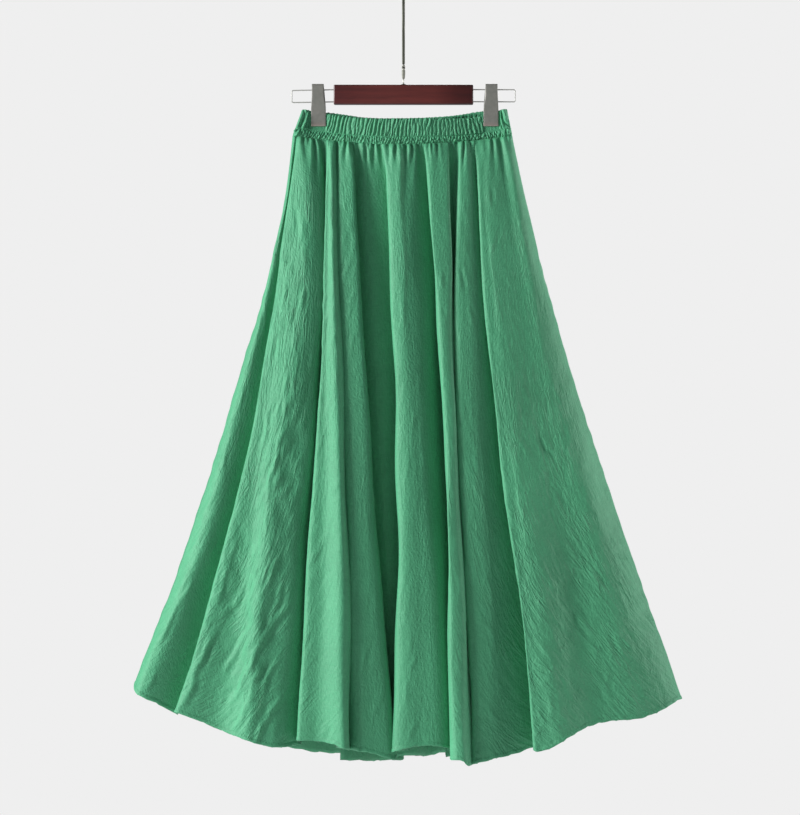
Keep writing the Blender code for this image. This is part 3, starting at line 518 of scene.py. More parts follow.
# creases seen square on: x and z of both ends, half width, height (a trough is negative) and bow,
# in millimetres
frontCreases = (
    # left panel, from the hip to the knee
    (-153, -363, -158, -404, 3.5, -0.9, 0), (-143, -377, -156, -415, 3.2, 0.7, 2),
    (-135, -405, -143, -451, 3.5, 0.7, -2), (-165, -435, -176, -451, 3, -0.9, 1),
    (-138, -472, -145, -503, 3.2, 1.1, 1), (-155, -496, -158, -526, 3.5, -1, 1),
    (-147, -532, -149, -566, 3.2, 0.9, -2), (-163, -543, -160, -558, 3, 0.8, 0),
    (-180, -539, -190, -578, 3.5, -1, 2), (-165, -595, -176, -628, 3.5, 1.1, 1),
    (-154, -595, -155, -617, 3, 0.8, 0), (-169, -466, -176, -496, 3, 0.8, 1),
    (-196, -637, -209, -719, 4, 1.1, 3), (-182, -625, -196, -671, 3.5, -0.9, 1),
    (-163, -625, -172, -664, 3.5, 1, -1), (-168, -664, -196, -781, 3.6, 1.4, -4),
    (-178, -691, -201, -750, 3.2, -0.9, 2), (-195, -793, -201, -818, 3.4, 1, 1),
    (-201, -811, -209, -868, 4, 0.8, 1), (-188, -492, -198, -556, 3.2, 0.7, 1),
    # left panel, towards the hem
    (-258, -945, -226, -891, 3.6, 1.3, -1), (-300, -1046, -250, -955, 4.1, 1.9, 3),
    (-278, -1010, -246, -946, 3.4, -1.3, 1), (-258, -1026, -212, -940, 3.9, 1.8, 2),
    (-250, -1070, -204, -990, 4.2, 1.9, -3), (-209, -975, -150, -912, 4.4, 1.8, 3),
    (-222, -1020, -190, -962, 3.4, 1.5, 1), (-228, -1064, -215, -1024, 3.3, -1.3, 0),
    (-204, -1114, -176, -1056, 3.6, 1.6, 1), (-180, -1075, -151, -1024, 3.9, 1.5, 2),
    (-322, -1072, -284, -1024, 3.6, 1.4, 1), (-242, -1098, -220, -1052, 3.4, 1.4, -1),
    (-196, -1050, -168, -988, 3.6, 1.4, 1), (-171, -1109, -156, -1072, 3.3, 1.2, 1),
    (-244, -861, -224, -818, 3.1, 0.8, 1), (-269, -918, -244, -861, 3.5, 1.2, -2),
    (-232, -930, -200, -874, 3.6, 1.2, 1), (-196, -900, -168, -846, 3.4, 1.2, -1),
    (-206, -1040, -178, -1000, 3.3, -1.1, 1), (-186, -956, -160, -880, 3.7, 1.1, 2),
    # side strip
    (-291, -815, -270, -762, 3.1, 1.3, 1), (-313, -870, -284, -806, 3.3, 1.4, -1),
    (-322, -912, -302, -880, 2.8, -1.3, 0), (-366, -1006, -338, -955, 3.4, 1.4, 1),
    (-340, -955, -316, -910, 3.1, 1.2, 0), (-258, -733, -246, -691, 2.7, 1, 1),
    (-360, -1048, -345, -1012, 3.1, 1.2, 0), (-232, -641, -222, -605, 2.5, 0.8, 0),
    (-350, -982, -322, -946, 3, 1.3, 1),
    # folds A and B
    (-140, -983, -124, -959, 3.6, -0.8, 1), (-129, -1040, -145, -1060, 3.8, 0.8, 1),
    (-103, -381, -99, -399, 3, 0.8, 0), (-107, -480, -100, -463, 3, 0.9, 0),
    (-96, -534, -100, -560, 3, 0.7, 0), (-79, -495, -69, -480, 3, 0.8, 0),
    (-83, -517, -72, -496, 3, 0.8, 0), (-76, -551, -70, -534, 3, 0.6, 0),
    (-116, -662, -104, -627, 3.6, 0.7, 1), (-130, -861, -116, -825, 4, 0.8, 1),
    (-121, -1109, -110, -1082, 4, 0.9, 0), (-59, -1026, -45, -975, 4.6, 0.8, 2),
    (-40, -1081, -28, -1046, 4.4, 0.8, 1), (-73, -918, -62, -861, 4.4, 0.6, 1),
    # folds D and E
    (6, -979, 13, -963, 3.4, 0.7, 0), (1, -1060, 6, -1020, 3.8, 0.8, 1), (13, -1014, 21, -989, 3.6, 0.7, 0),
    (-4, -492, -8, -534, 3.6, 0.5, 1), (2, -705, -2, -762, 4, 0.5, 1), (56, -449, 60, -478, 3.2, 0.8, -1),
    (53, -500, 62, -517, 3, -0.7, 0), (9, -1109, 21, -1077, 4, 0.8, 0),
    # folds F and G
    (84, -440, 92, -482, 3.4, -1, -1), (96, -500, 103, -529, 3.2, 0.8, 0),
    (107, -1043, 114, -1060, 3.6, 0.7, 0), (121, -1060, 134, -1082, 3.8, 0.8, 0),
    (94, -861, 100, -904, 4.5, 0.5, 1), (120, -975, 131, -1006, 4, 0.7, 1),
    (83, -1109, 92, -1081, 4, 0.6, 0), (103, -712, 110, -747, 4, 0.6, 0),
    # right panel
    (120, -424, 131, -409, 3, 0.9, 0), (160, -385, 174, -374, 2.8, 0.9, 0),
    (164, -391, 177, -380, 2.8, 0.7, 0), (126, -326, 131, -354, 3, -0.8, 0),
    (155, -674, 185, -712, 3.6, 0.9, -1), (190, -668, 217, -720, 3.8, -1, -2),
    (200, -776, 224, -804, 3.8, 0.8, 1), (220, -818, 248, -854, 4, 1, -1),
    (207, -783, 225, -810, 3.4, -0.7, 0), (209, -901, 245, -953, 4, 1.2, -2),
    (238, -922, 272, -970, 4, 1.1, 2), (299, -952, 327, -990, 4, 1.2, 1), (289, -963, 313, -1000, 4, -1, 1),
    (182, -966, 214, -1011, 4, 0.9, 1), (256, -861, 285, -896, 4.2, 0.8, 1),
    (231, -861, 251, -896, 3.8, -0.8, 0), (194, -861, 217, -901, 4, 0.7, 1),
    (307, -918, 327, -949, 3.8, 0.9, 0), (330, -996, 353, -1020, 4, 0.9, 0),
    (222, -1017, 251, -1060, 4.2, 0.8, -1), (273, -1026, 302, -1060, 4.2, 0.8, 1),
    (197, -1046, 217, -1077, 4, 0.7, 0), (165, -605, 187, -641, 3.4, 0.6, 0),
    (212, -605, 231, -648, 3.6, 0.7, 1), (144, -534, 154, -566, 3.2, 0.5, 0),
    (336, -1046, 359, -1060, 3.8, 0.8, 0), (177, -1109, 194, -1085, 3.8, 0.7, 0),
    # soft swells and hollows of the flat panels
    (190, -480, 250, -820, 20, -1, 12), (275, -700, 330, -900, 22, 1, 8),
    (250, -830, 240, -1040, 22, -1.2, -10), (180, -640, 215, -1000, 18, 0.8, 8),
    (-225, -760, -262, -980, 16, -1.2, 6), (-172, -420, -186, -560, 12, 1.6, 3),
    (-212, -860, -222, -1060, 14, 1.8, 4), (-150, -640, -172, -860, 14, -1.6, 3),
)
backCreases = (
    # left panel
    (-150, -380, -158, -430, 3.5, -1, 1), (-160, -450, -172, -510, 3.4, 0.9, 2),
    (-145, -520, -150, -570, 3.4, 1, -1), (-178, -560, -192, -620, 3.6, 1.1, 2),
    (-168, -600, -180, -650, 3.4, -0.9, 1), (-205, -700, -222, -760, 4, 1.1, 3),
    (-190, -720, -204, -790, 3.8, 1, -2), (-236, -800, -256, -860, 4, 1, 2),
    (-270, -900, -240, -850, 4.2, 1.1, 2), (-300, -1000, -262, -930, 4.6, 1.4, 3),
    (-280, -1010, -250, -960, 4.2, -1, 1), (-330, -1040, -300, -990, 4.2, 1, 1),
    (-250, -1060, -220, -1000, 4.4, 1.2, -2), (-220, -1000, -196, -950, 4.2, 1, 1),
    (-212, -1080, -190, -1040, 4, 1, 1),
    # folds M to Q
    (-130, -480, -134, -530, 3.2, 0.8, 1), (-118, -700, -124, -760, 3.6, 0.8, 1),
    (-150, -900, -138, -850, 4, 0.9, 1), (-112, -1050, -100, -1000, 4, 0.9, 1),
    (-60, -560, -56, -610, 3.4, 0.7, 0), (-40, -800, -34, -850, 4, 0.7, 1),
    (-62, -1060, -50, -1010, 4.2, 0.9, 1), (0, -460, 4, -500, 3.2, 0.7, 0),
    (20, -760, 28, -820, 3.8, 0.8, 1), (44, -960, 56, -1010, 4, 0.9, -1), (10, -1080, 20, -1040, 4, 0.8, 0),
    (62, -520, 68, -570, 3.4, 0.8, 1), (84, -700, 94, -750, 3.8, 0.8, 0), (110, -900, 124, -950, 4, 1, 1),
    (96, -1060, 110, -1020, 4, 0.8, 0),
    # right panel
    (118, -400, 128, -440, 3.2, 0.8, 0), (140, -520, 156, -570, 3.6, 0.9, 1),
    (166, -470, 174, -520, 3.2, -0.8, 0), (176, -640, 200, -700, 3.8, 1, 1),
    (150, -700, 168, -760, 3.8, 0.9, -1), (206, -780, 232, -830, 4, 1.1, 1),
    (236, -800, 262, -850, 4, -0.9, 1), (190, -860, 214, -920, 4.2, 1, 2),
    (250, -900, 284, -960, 4.4, 1.2, -2), (290, -930, 318, -980, 4, 1, 1),
    (220, -980, 250, -1030, 4.2, 1, 1), (310, -1010, 340, -1045, 4, 0.9, 0),
    (180, -1030, 206, -1080, 4.2, 0.9, 1),
    # soft swells and hollows of the flat panels
    (-180, -520, -230, -760, 16, 1.8, 6), (-250, -820, -290, -1000, 18, -2, 8),
    (200, -620, 260, -900, 20, -2, 10), (160, -560, 190, -760, 14, 1.6, 4),
    (300, -840, 330, -980, 18, 1.6, 4),
)


def addCrease(field, flatStart, flatEnd, width, height, bow):
    cell, lowU, lowV = skirt["mapCell"], field["lowU"], field["lowV"]
    start, end = np.array(flatStart), np.array(flatEnd)
    length = np.hypot(*(end - start))
    if length < 1 * mm:
        return
    reach = 3.2 * width + abs(bow)
    low, high = np.minimum(start, end) - reach, np.maximum(start, end) + reach
    first = np.maximum(((low - (lowU, lowV)) / cell).astype(int), 0)
    last = np.minimum(((high - (lowU, lowV)) / cell).astype(int) + 1, field["map"].shape)
    if (last <= first).any():
        return
    u = lowU + cell * np.arange(first[0], last[0])[:, None]
    v = lowV + cell * np.arange(first[1], last[1])[None, :]
    along = (end - start) / length
    run = ((u - start[0]) * along[0] + (v - start[1]) * along[1]) / length
    bend = bow * 4 * run * (1 - run) + 0.35 * width * np.sin(run * length / (9 * mm) + start[0] * 900)
    off = ((u - start[0]) * along[1] - (v - start[1]) * along[0] - bend) / width
    taper = smoothStep(-0.08, 0.35, run) * (1 - smoothStep(0.6, 1.08, run))
    profile = np.exp(-off ** 2) - 0.55 * np.exp(-((np.abs(off) - 1.6) / 0.9) ** 2)
    field["map"][first[0]:last[0], first[1]:last[1]] += height * taper * profile


def addCrinkle(field, wide, long, strengthAt, seed):  # small crinkles that run with the drape
    rng = np.random.default_rng(seed)
    seamHalf = 0.17
    for _ in range(skirt["crinkles"]):
        v = long * rng.uniform(0.03, 1.0)
        side = rng.uniform(-1, 1)
        u = side * (seamHalf + (wide - seamHalf) * v / long)
        flare = side * (0.05 + 0.38 * float(smoothStep(0.4, 0.9, v / long)))
        lean = atan2(u, v + 0.24) + flare + rng.normal(0, skirt["crinkleLean"])
        strength = strengthAt(side, v / long)
        if rng.uniform() > 0.35 + 0.65 * strength:
            continue
        length = rng.uniform(*skirt["crinkleLengths"]) * mm
        along = np.array([sin(lean), cos(lean)]) * length / 2
        height = rng.uniform(*skirt["crinkleHeights"]) * mm * (0.3 + 0.7 * strength) * rng.choice((1, 1, -1))
        width, bow = rng.uniform(*skirt["crinkleWidths"]) * mm, rng.normal(0, skirt["crinkleBow"]) * mm
        addCrease(field, (u, v) - along, (u, v) + along, width, height, bow)


def sampleField(field, flat):
    place = (flat - (field["lowU"], field["lowV"])) / skirt["mapCell"]
    size = np.array(field["map"].shape)
    base = np.clip(np.floor(place).astype(int), 0, size - 2)
    share = np.clip(place - base, 0.0, 1.0)
    i, j = base[..., 0], base[..., 1]
    a, b = share[..., 0], share[..., 1]
    grid = field["map"]
    near = grid[i, j] * (1 - a) + grid[i + 1, j] * a
    far = grid[i, j + 1] * (1 - a) + grid[i + 1, j + 1] * a
    return near * (1 - b) + far * b


def sideWaver(shares, seed):  # both panels share the wavering of a side seam
    down = shares * 100
    return slowWander(down, seed, rate=0.28) + 0.6 * slowWander(down, seed + 2, rate=0.9)


def foldPlaces(folds, shares, seed):  # x, depth and height of each fold line at each share of the way down
    table = np.array(folds, float)
    x = splineWeights(skirt["stations"], shares) @ table[:, :5].T * mm
    rng = np.random.default_rng(seed)
    steady = smoothStep(0.03, 0.3, shares) * (1 - smoothStep(0.97, 1.0, shares))
    for i, near, sideSeed in ((0, 1.0, 70), (1, 0.7, 70), (-2, 0.7, 71), (-1, 1.0, 71)):
        x[:, i] += skirt["sideWaver"] * near * sideWaver(shares, sideSeed) * steady
    for i in range(1, len(table) - 1):  # hanging cloth never falls quite straight
        wander = sum(np.sin(2 * pi * (shares * rng.uniform(1.2, 4.5) + rng.uniform())) * rng.uniform(0.3, 0.9)
                     for _ in range(3))
        x[:, i] += skirt["foldWander"] * wander * smoothStep(0.04, 0.25, shares)
    atSeam, atHem = table[:, 0] * mm, table[:, 4]
    waistDepth = waistHalfDepth(atSeam, 1.0, waist["footLeft"], waist["footRight"])
    body = skirt["bodyDepth"] * (1.0 - np.abs(atHem / np.abs(atHem[[0, -1]]).max()) ** 3)
    body[[0, -1]] = 0.0
    share = shares[:, None]
    opened = share ** skirt["bodyGrowth"]
    tends = table[:, 5] + (table[:, 6] - table[:, 5]) * smoothStep(0.15, 1.0, share)
    depth = waistDepth * (1.0 - opened) + body * opened + (tends * mm - body) * share ** skirt["foldGrowth"]
    top = seamHeight(atSeam) - seamGap
    return x, depth, top + (-table[:, 7] * mm - top) * share


def columnPlaces(folds, facing, seed):  # closer where the cloth shows, is crumpled or gathered
    spacing = []
    for share in (0.0, skirt["stations"][2], 1.0):
        x, depth, _ = foldPlaces(folds, np.array([share]), seed)
        spacing.append((np.hypot(np.diff(x[0]), np.diff(depth[0])), np.diff(x[0])))
    (seam, _), (knee, kneeAcross), (hem, hemAcross) = spacing
    lengths = skirt["hemWeight"] * hem + (1 - skirt["hemWeight"]) * knee * hem.sum() / knee.sum()
    shown = np.clip((kneeAcross + hemAcross) / (knee + hem), 0.0, 1.0)
    marks, _, lower = np.array(skirt["crumple"]).T
    hemX = np.array(folds, float)[:, 4] * -facing
    crumpled = np.interp((hemX[:-1] + hemX[1:]) / 2, marks, lower)
    gathered = np.clip(seam / lengths * lengths.sum() / seam.sum() / 2, 1.0, 2.5)
    weights = lengths * (0.4 + 0.6 * shown) * (0.75 + 0.45 * crumpled) * gathered
    knots, crowd = (np.concatenate([[0.0], np.cumsum(sizes)]) for sizes in (lengths, weights))
    return knots, np.interp(np.linspace(0.0, crowd[-1], skirt["columns"] + 1), crowd, knots)


def rowShares(surface):  # rows stand closest at the seam and in the rolled hem
    trial = np.linspace(0.0, 1.0, 400) ** 1.6
    run = runLengths(np.stack([grid[:, skirt["columns"] // 2] for grid in surface(trial)], axis=-1))
    hemRows = run[-1] - np.array(skirt["hemRows"]) * mm
    ends = (0, 0.003, 0.06, run[-1] - skirt["hemRows"][0] * mm)
    upper = [np.linspace(low, high, count)[:-1] for low, high, count in zip(ends, ends[1:], (4, 25, 179))]
    return np.interp(np.concatenate(upper + [hemRows]), run, trial)


def gatherRelief(gathers, seamX, down, depth, seed):  # the cloth puffs out under the band between its gathers
    relief = np.zeros_like(depth)
    rng = np.random.default_rng(seed + 60)
    for at, width, size, reach in gathers:
        reach *= rng.uniform(*skirt["gatherReaches"])
        width *= rng.uniform(*skirt["gatherWidths"])
        size = size * rng.uniform(*skirt["gatherDepths"]) * (1.3 - 0.3 * width / 2.6)
        lower = down / (reach * mm)
        drift = rng.normal(0, 2.2) * np.clip(lower, 0.0, 1.2) ** 1.5
        fade = np.exp(-(down / (reach * mm * 0.75)) ** 1.6)
        off = (seamX - (at + rng.normal(0, 0.5) + drift) * mm) / (width * mm * (0.7 + 0.9 * lower))
        trough = np.exp(-np.abs(off) ** 1.5) - 0.35 * np.exp(-((np.abs(off) - 2.0) / 0.9) ** 2)
        relief -= size * mm * fade * trough
    puff = skirt["puff"] * np.exp(-(down / skirt["puffReach"]) ** 2)
    relief += puff - skirt["dip"] * np.exp(-(down / skirt["dipReach"]) ** 2)
    room = np.clip(depth / (7 * mm), 0.35, 1.0)
    return relief * room * smoothStep(0.0, 6 * mm, np.minimum(seamX - seamX[0, 0], seamX[0, -1] - seamX))


def troughFloor(relief, fromHem):  # the lowest relief nearby, so that the lining keeps under every trough
    lowest = relief.copy()
    for _ in range(skirt["liningStep"] // 2 + 1):
        lowest[1:-1] = np.minimum(lowest[1:-1], np.minimum(lowest[:-2], lowest[2:]))
        lowest[:, 1:-1] = np.minimum(lowest[:, 1:-1], np.minimum(lowest[:, :-2], lowest[:, 2:]))
    return np.where(fromHem < 2 * mm, relief, lowest)


def makeSkirtPanel(name, folds, gathers, creases, facing, node, seed):
    knots, places = columnPlaces(folds, facing, seed)
    weights = splineWeights(knots, places).T

    def surface(shares):
        return [lines @ weights for lines in foldPlaces(folds, shares, seed)]

    def hemWander(number, rate):
        return slowWander(places / mm, seed + number, rate=rate)

    shares = rowShares(surface)
    x, depth, height = surface(shares)
    share = shares[:, None]
    fromSides = np.minimum(places, places[-1] - places)
    hemWave = sum(size * hemWander(number, rate) for number, rate, size in skirt["hemWaves"])
    height = height + mm * hemWave * smoothStep(0.8, 1.0, share) * smoothStep(0.0, 12 * mm, fromSides)
    height = height + skirt["sewnUp"] * (1.0 - smoothStep(0.0, 0.004, share))  # under the band

    # the cloth laid flat, with its middle column upright
    middle = skirt["columns"] // 2
    points = np.stack([x, facing * depth, height], axis=-1)
    stepAcross = np.linalg.norm(np.diff(points, axis=1), axis=-1)
    fromLeft = np.concatenate([np.zeros((len(shares), 1)), np.cumsum(stepAcross, axis=1)], axis=1)
    fromTop = runLengths(points[:, middle])
    flat = np.broadcast_arrays(fromLeft - fromLeft[:, middle:middle + 1], fromTop[:, None])
    flat = np.stack(flat, axis=-1)
    field = {"lowU": flat[..., 0].min() - 0.01, "lowV": -0.01}
    span = (flat[..., 0].max() + 0.01 - field["lowU"], fromTop[-1] + 0.02)
    field["map"] = np.zeros([int(size / skirt["mapCell"]) + 2 for size in span])

    def seenAt(cx, cz):  # where on the flat cloth the outermost layer lies at this place
        miss = np.hypot(x - cx * mm, height - cz * mm)
        near = np.where(miss < 5 * mm, depth, -1.0)
        at = near.argmax() if near.max() > 0 else miss.argmin()
        return flat.reshape(-1, 2)[at]

    for x0, z0, x1, z1, width, size, bow in creases:
        width, size = skirt["creaseWidth"] * width, skirt["creaseHeight"] * size
        addCrease(field, seenAt(x0, z0), seenAt(x1, z1), width * mm, size * mm, bow * mm)
    marks, *strengths = np.array(skirt["crumple"]).T
    upper, lower = (np.interp(x[-1] / mm * -facing, marks, strength) for strength in strengths)
    crumple = upper + (lower - upper) * smoothStep(0.25, 0.75, share)

    def strengthAt(side, down):
        column = int(np.clip(np.searchsorted(flat[-1, :, 0], side * flat[-1, -1, 0]), 0, skirt["columns"]))
        return float(upper[column] + (lower[column] - upper[column]) * smoothStep(0.25, 0.75, down))

    addCrinkle(field, flat[-1, -1, 0], fromTop[-1], strengthAt, seed)
    down, fromHem = fromTop[:, None], fromTop[-1] - fromTop[:, None]
    turn = skirt["hemTurn"]
    relief = sampleField(field, flat) * smoothStep(0.02, 0.12, share) * smoothStep(0.0, 9 * mm, fromSides)
    relief = relief + gatherRelief(gathers, x[:1], down, depth, seed)
    relief = relief + skirt["hemThickness"] * (1 - smoothStep(turn - 0.8 * mm, turn + 0.8 * mm, fromHem))
    pull = np.exp(-((fromHem - turn) / (0.9 * mm)) ** 2)  # the hem's stitches pull in
    relief = relief - skirt["hemPull"] * pull

    rim = np.sqrt(1 - np.clip(1 - fromHem / skirt["hemRounding"], 0, 1) ** 2)  # the turned edge is round
    out = (relief + skirt["wall"] / 2) * (0.25 + 0.75 * rim)
    back = skirt["wall"] / 2 - troughFloor(relief, fromHem)
    outer, inner = spreadOut(x, depth, height, facing, out, back, skirt["liningStep"])
    column = (places / places[-1] - 0.5)[None, :]
    slide = 0.55 * np.clip(down - 0.35, 0.0, 1.0) ** 2 * np.clip(column * 3, -1, 1)
    drape = np.stack(np.broadcast_arrays(column * skirt["cutWidth"] - slide, -down), axis=-1)
    maps = {"cut": flat * (1, -1), "drape": drape}
    mesh = clothShell(name, outer, inner, facing, maps, crumple * smoothStep(0.01, 0.1, share))
    piece = addPiece(name, mesh, cottonCloth, "cloth", node)
    area = float((stepAcross[:-1].sum(axis=1) * np.diff(fromTop)).sum())
    print("  ", name, "cut", round(fromLeft[-1, -1], 3), "by", round(fromTop[-1], 3), "area", round(area, 3))
    return piece, outer, fromTop


skirtFront, frontGrid, frontDown = makeSkirtPanel(
    "skirtFront", frontFolds, frontGathers, frontCreases, -1, "front_panel", 3)
skirtBack, backGrid, backDown = makeSkirtPanel(
    "skirtBack", backFolds, backGathers, backCreases, 1, "back_panel", 5)

print("stitches")
stitches = {
    "length": 2.3 * mm, "thickness": 0.42 * mm, "unevenness": 0.12, "lift": 0.16 * mm,
    "waistPitch": 3.0 * mm, "hemPitch": 3.4 * mm,
    "colour": "#4aa577", "dark": "#3f9269", "light": "#5cb88a",
}


def twistedThread(look):  # spun polyester sewing thread: a little shinier than the cloth, twisted
    material, tree, shader = newMaterial("spunPolyesterThread", look["colour"], 0.6, Sheen_Weight=0.15)
    place = addNode(tree, "ShaderNodeTexCoord").outputs["Object"]
    twist = addNode(tree, "ShaderNodeTexWave", {"Scale": 420.0, "Distortion": 1.5}, {"Vector": place},
                    bands_direction="DIAGONAL").outputs["Fac"]
    tone = toneRamp(tree, twist, (0.0, look["dark"]), (1.0, look["light"]))
    tree.links.new(tone, shader.inputs["Base Color"])
    tree.links.new(bumped(tree, twist, 0.4, 0.1 * mm), shader.inputs["Normal"])
    return material


def stitchTree():  # lays one small thread after another along a path
    tree = bpy.data.node_groups.new("sewnLine", "GeometryNodeTree")
    sockets = (("Geometry", "Geometry", None), ("Pitch", "Float", stitches["waistPitch"]),
               ("Length", "Float", stitches["length"]), ("Thickness", "Float", stitches["thickness"]),
               ("Unevenness", "Float", stitches["unevenness"]), ("Thread", "Material", None))
    for label, kind, start in sockets:
        socket = tree.interface.new_socket(label, in_out="INPUT", socket_type="NodeSocket" + kind)
        if start is not None:
            socket.default_value = start
    tree.interface.new_socket("Geometry", in_out="OUTPUT", socket_type="NodeSocketGeometry")
    given = addNode(tree, "NodeGroupInput").outputs
    path = addNode(tree, "GeometryNodeMeshToCurve", {}, {"Mesh": given["Geometry"]})
    spaced = {"Curve": path.outputs[0], "Length": given["Pitch"]}
    points = addNode(tree, "GeometryNodeCurveToPoints", {}, spaced, mode="LENGTH").outputs
    thread = addNode(tree, "GeometryNodeMeshUVSphere", {"Segments": 6, "Rings": 4, "Radius": 0.5})
    aimed = addNode(tree, "FunctionNodeAlignRotationToVector", {}, {"Vector": points["Tangent"]}, axis="X")
    least = reckoned(tree, "SUBTRACT", 0.0, given["Unevenness"])
    limits = {2: least, 3: given["Unevenness"]}
    uneven = addNode(tree, "FunctionNodeRandomValue", {"Seed": 4}, limits, data_type="FLOAT")
    tilt = addNode(tree, "FunctionNodeAxisAngleToRotation", {"Axis": (0, 1, 0)}, {"Angle": uneven.outputs[1]})
    turned = addNode(tree, "FunctionNodeRotateRotation", {},
                     {"Rotation": aimed.outputs[0], "Rotate By": tilt.outputs[0]}, rotation_space="LOCAL")
    size = addNode(tree, "ShaderNodeCombineXYZ", {},
                   {"X": given["Length"], "Y": given["Thickness"], "Z": given["Thickness"]})
    laid = addNode(tree, "GeometryNodeInstanceOnPoints", {},
                   {"Points": points[0], "Instance": thread.outputs[0], "Rotation": turned.outputs[0],
                    "Scale": size.outputs[0]})
    solid = addNode(tree, "GeometryNodeRealizeInstances", {}, {"Geometry": laid.outputs[0]})
    sewn = addNode(tree, "GeometryNodeSetMaterial", {},
                   {"Geometry": solid.outputs[0], "Material": given["Thread"]})
    addNode(tree, "NodeGroupOutput", {}, {"Geometry": sewn.outputs[0]})
    return tree


threadGreen = twistedThread(stitches)
sewnLine = stitchTree()


def sewLine(name, path, slot, pitch):
    mesh = bpy.data.meshes.new(name + "Path")
    mesh.from_pydata(path.tolist(), [(i, i + 1) for i in range(len(path) - 1)], [])
    holder = bpy.data.objects.new(name + "Path", mesh)
    bpy.context.scene.collection.objects.link(holder)
    modifier = holder.modifiers.new("sewnLine", "NODES")
    modifier.node_group = sewnLine
    sockets = {item.name: item.identifier for item in sewnLine.interface.items_tree if item.in_out == "INPUT"}
    modifier[sockets["Thread"]] = threadGreen
    modifier[sockets["Pitch"]] = pitch
    made = bpy.data.meshes.new_from_object(holder.evaluated_get(bpy.context.evaluated_depsgraph_get()))
    bpy.data.objects.remove(holder)
    made.name = name
    return addPiece(name, made, threadGreen, slot)


def alongRow(grid, distances, at, facing):  # the row nearest to a place, just off the outer face of the cloth
    path = grid[int(np.abs(distances - at).argmin())].copy()
    tangent = np.gradient(path, axis=0)
    sideways = np.stack([tangent[:, 1], -tangent[:, 0], np.zeros(len(path))], axis=-1)
    sideways /= np.linalg.norm(sideways, axis=1)[:, None] + 1e-12
    return path - facing * sideways * stitches["lift"]


for half, grid, facing in (("Front", bandFrontGrid, -1), ("Back", bandBackGrid, 1)):
    path = alongRow(grid, bandShares[:, 0], band["stitchLine"], facing)
    sewLine("waistStitches" + half, path, "waistband_cloth", stitches["waistPitch"])
for half, grid, down, facing in (("Front", frontGrid, frontDown, -1), ("Back", backGrid, backDown, 1)):
    path = alongRow(grid, down[-1] - down, skirt["hemTurn"], facing)[3:-3]
    sewLine("hemStitches" + half, path, "cloth", stitches["hemPitch"])

print("hanger")
hanger = {
    "barTop": -185.7 * mm, "barLength": 198 * mm, "barHeight": 28.1 * mm, "barThickness": 12 * mm,
    "barRounding": 1.7 * mm, "washerRoom": 0.7 * mm,
    "hookWire": 4.1 * mm, "hookInner": 20 * mm, "hookEase": 1.75 * mm,  # to the middle of the wire
    "hookTip": radians(205), "hookTurn": radians(-45), "hookTurnRadius": 14 * mm,
    "ferruleHeight": 27.7 * mm,
    "loopWire": 1.7 * mm, "loopReach": 159.5 * mm, "loopUpper": 7.3 * mm, "loopLower": 24.5 * mm,
    "loopCorner": 2.4 * mm, "loopInBar": 12 * mm, "loopDroop": {"left": 1.3 * mm, "right": 0.2 * mm},
    "clipHeight": 60.5 * mm, "clipAbove": 0.7 * mm, "clipTopWidth": 17 * mm, "clipLeaf": 1.6 * mm,
    "clipGap": 6 * mm, "clipShoulder": 3.2 * mm, "clipHollow": 1.5 * mm, "clipLip": 2.2 * mm,
    "wireSides": 24, "turnedSides": 48,
}
top = hanger["barTop"]
barMiddle = top - hanger["washerRoom"] - hanger["barHeight"] / 2


def sweptWire(name, points, radius):  # a round wire through the points, its ends rounded over
    path = [Vector(point) for point in points]
    capAngles = (0.35, 0.75, 1.15, 1.5)
    for end, inward in ((0, 1), (-1, -2)):
        direction = (path[end] - path[inward]).normalized()
        tip = path[end].copy()
        path[end] = tip - direction * radius
        cap = [tip - direction * radius * (1 - sin(a)) for a in capAngles]
        path = cap[::-1] + path if end == 0 else path + cap
    turns = [2 * pi * k / hanger["wireSides"] for k in range(hanger["wireSides"])]
    bm = bmesh.new()
    rings, side = [], Vector((0, 1, 0))
    for i, point in enumerate(path):
        direction = (path[min(i + 1, len(path) - 1)] - path[max(i - 1, 0)]).normalized()
        side = (side - direction * side.dot(direction)).normalized()
        up = direction.cross(side)
        fromEnd = min(i, len(path) - 1 - i)
        reach = radius * (cos(capAngles[3 - fromEnd]) if fromEnd < 4 else 1.0)
        rings.append([bm.verts.new(point + (side * cos(turn) + up * sin(turn)) * reach) for turn in turns])
    for lower, upper in zip(rings, rings[1:]):
        for k in range(len(turns)):
            bm.faces.new((lower[k], lower[k - 1], upper[k - 1], upper[k]))
    bm.faces.new(rings[0])
    bm.faces.new(rings[-1][::-1])
    return meshFrom(bm, name)


def arcPoints(centreX, centreZ, radius, start, end, steps):
    angles = [start + (end - start) * i / steps for i in range(steps + 1)]
    return [(centreX + radius * cos(angle), 0.0, centreZ + radius * sin(angle)) for angle in angles]


def turnedShape(name, profile, ring=False):  # radius and height over the bar, from the top down
    turns = [2 * pi * k / hanger["turnedSides"] for k in range(hanger["turnedSides"])]
    bm = bmesh.new()
    rings = []
    for radius, height in profile:
        places = [(radius * mm * cos(turn), radius * mm * sin(turn), top + height * mm) for turn in turns]
        rings.append([bm.verts.new(place) for place in places])
    for upper, lower in zip(rings, rings[1:] + (rings[:1] if ring else [])):
        for k in range(len(turns)):
            bm.faces.new((upper[k], upper[k - 1], lower[k - 1], lower[k]))
    if not ring:
        bm.faces.new(rings[0])
        bm.faces.new(rings[-1][::-1])
    return meshFrom(bm, name)


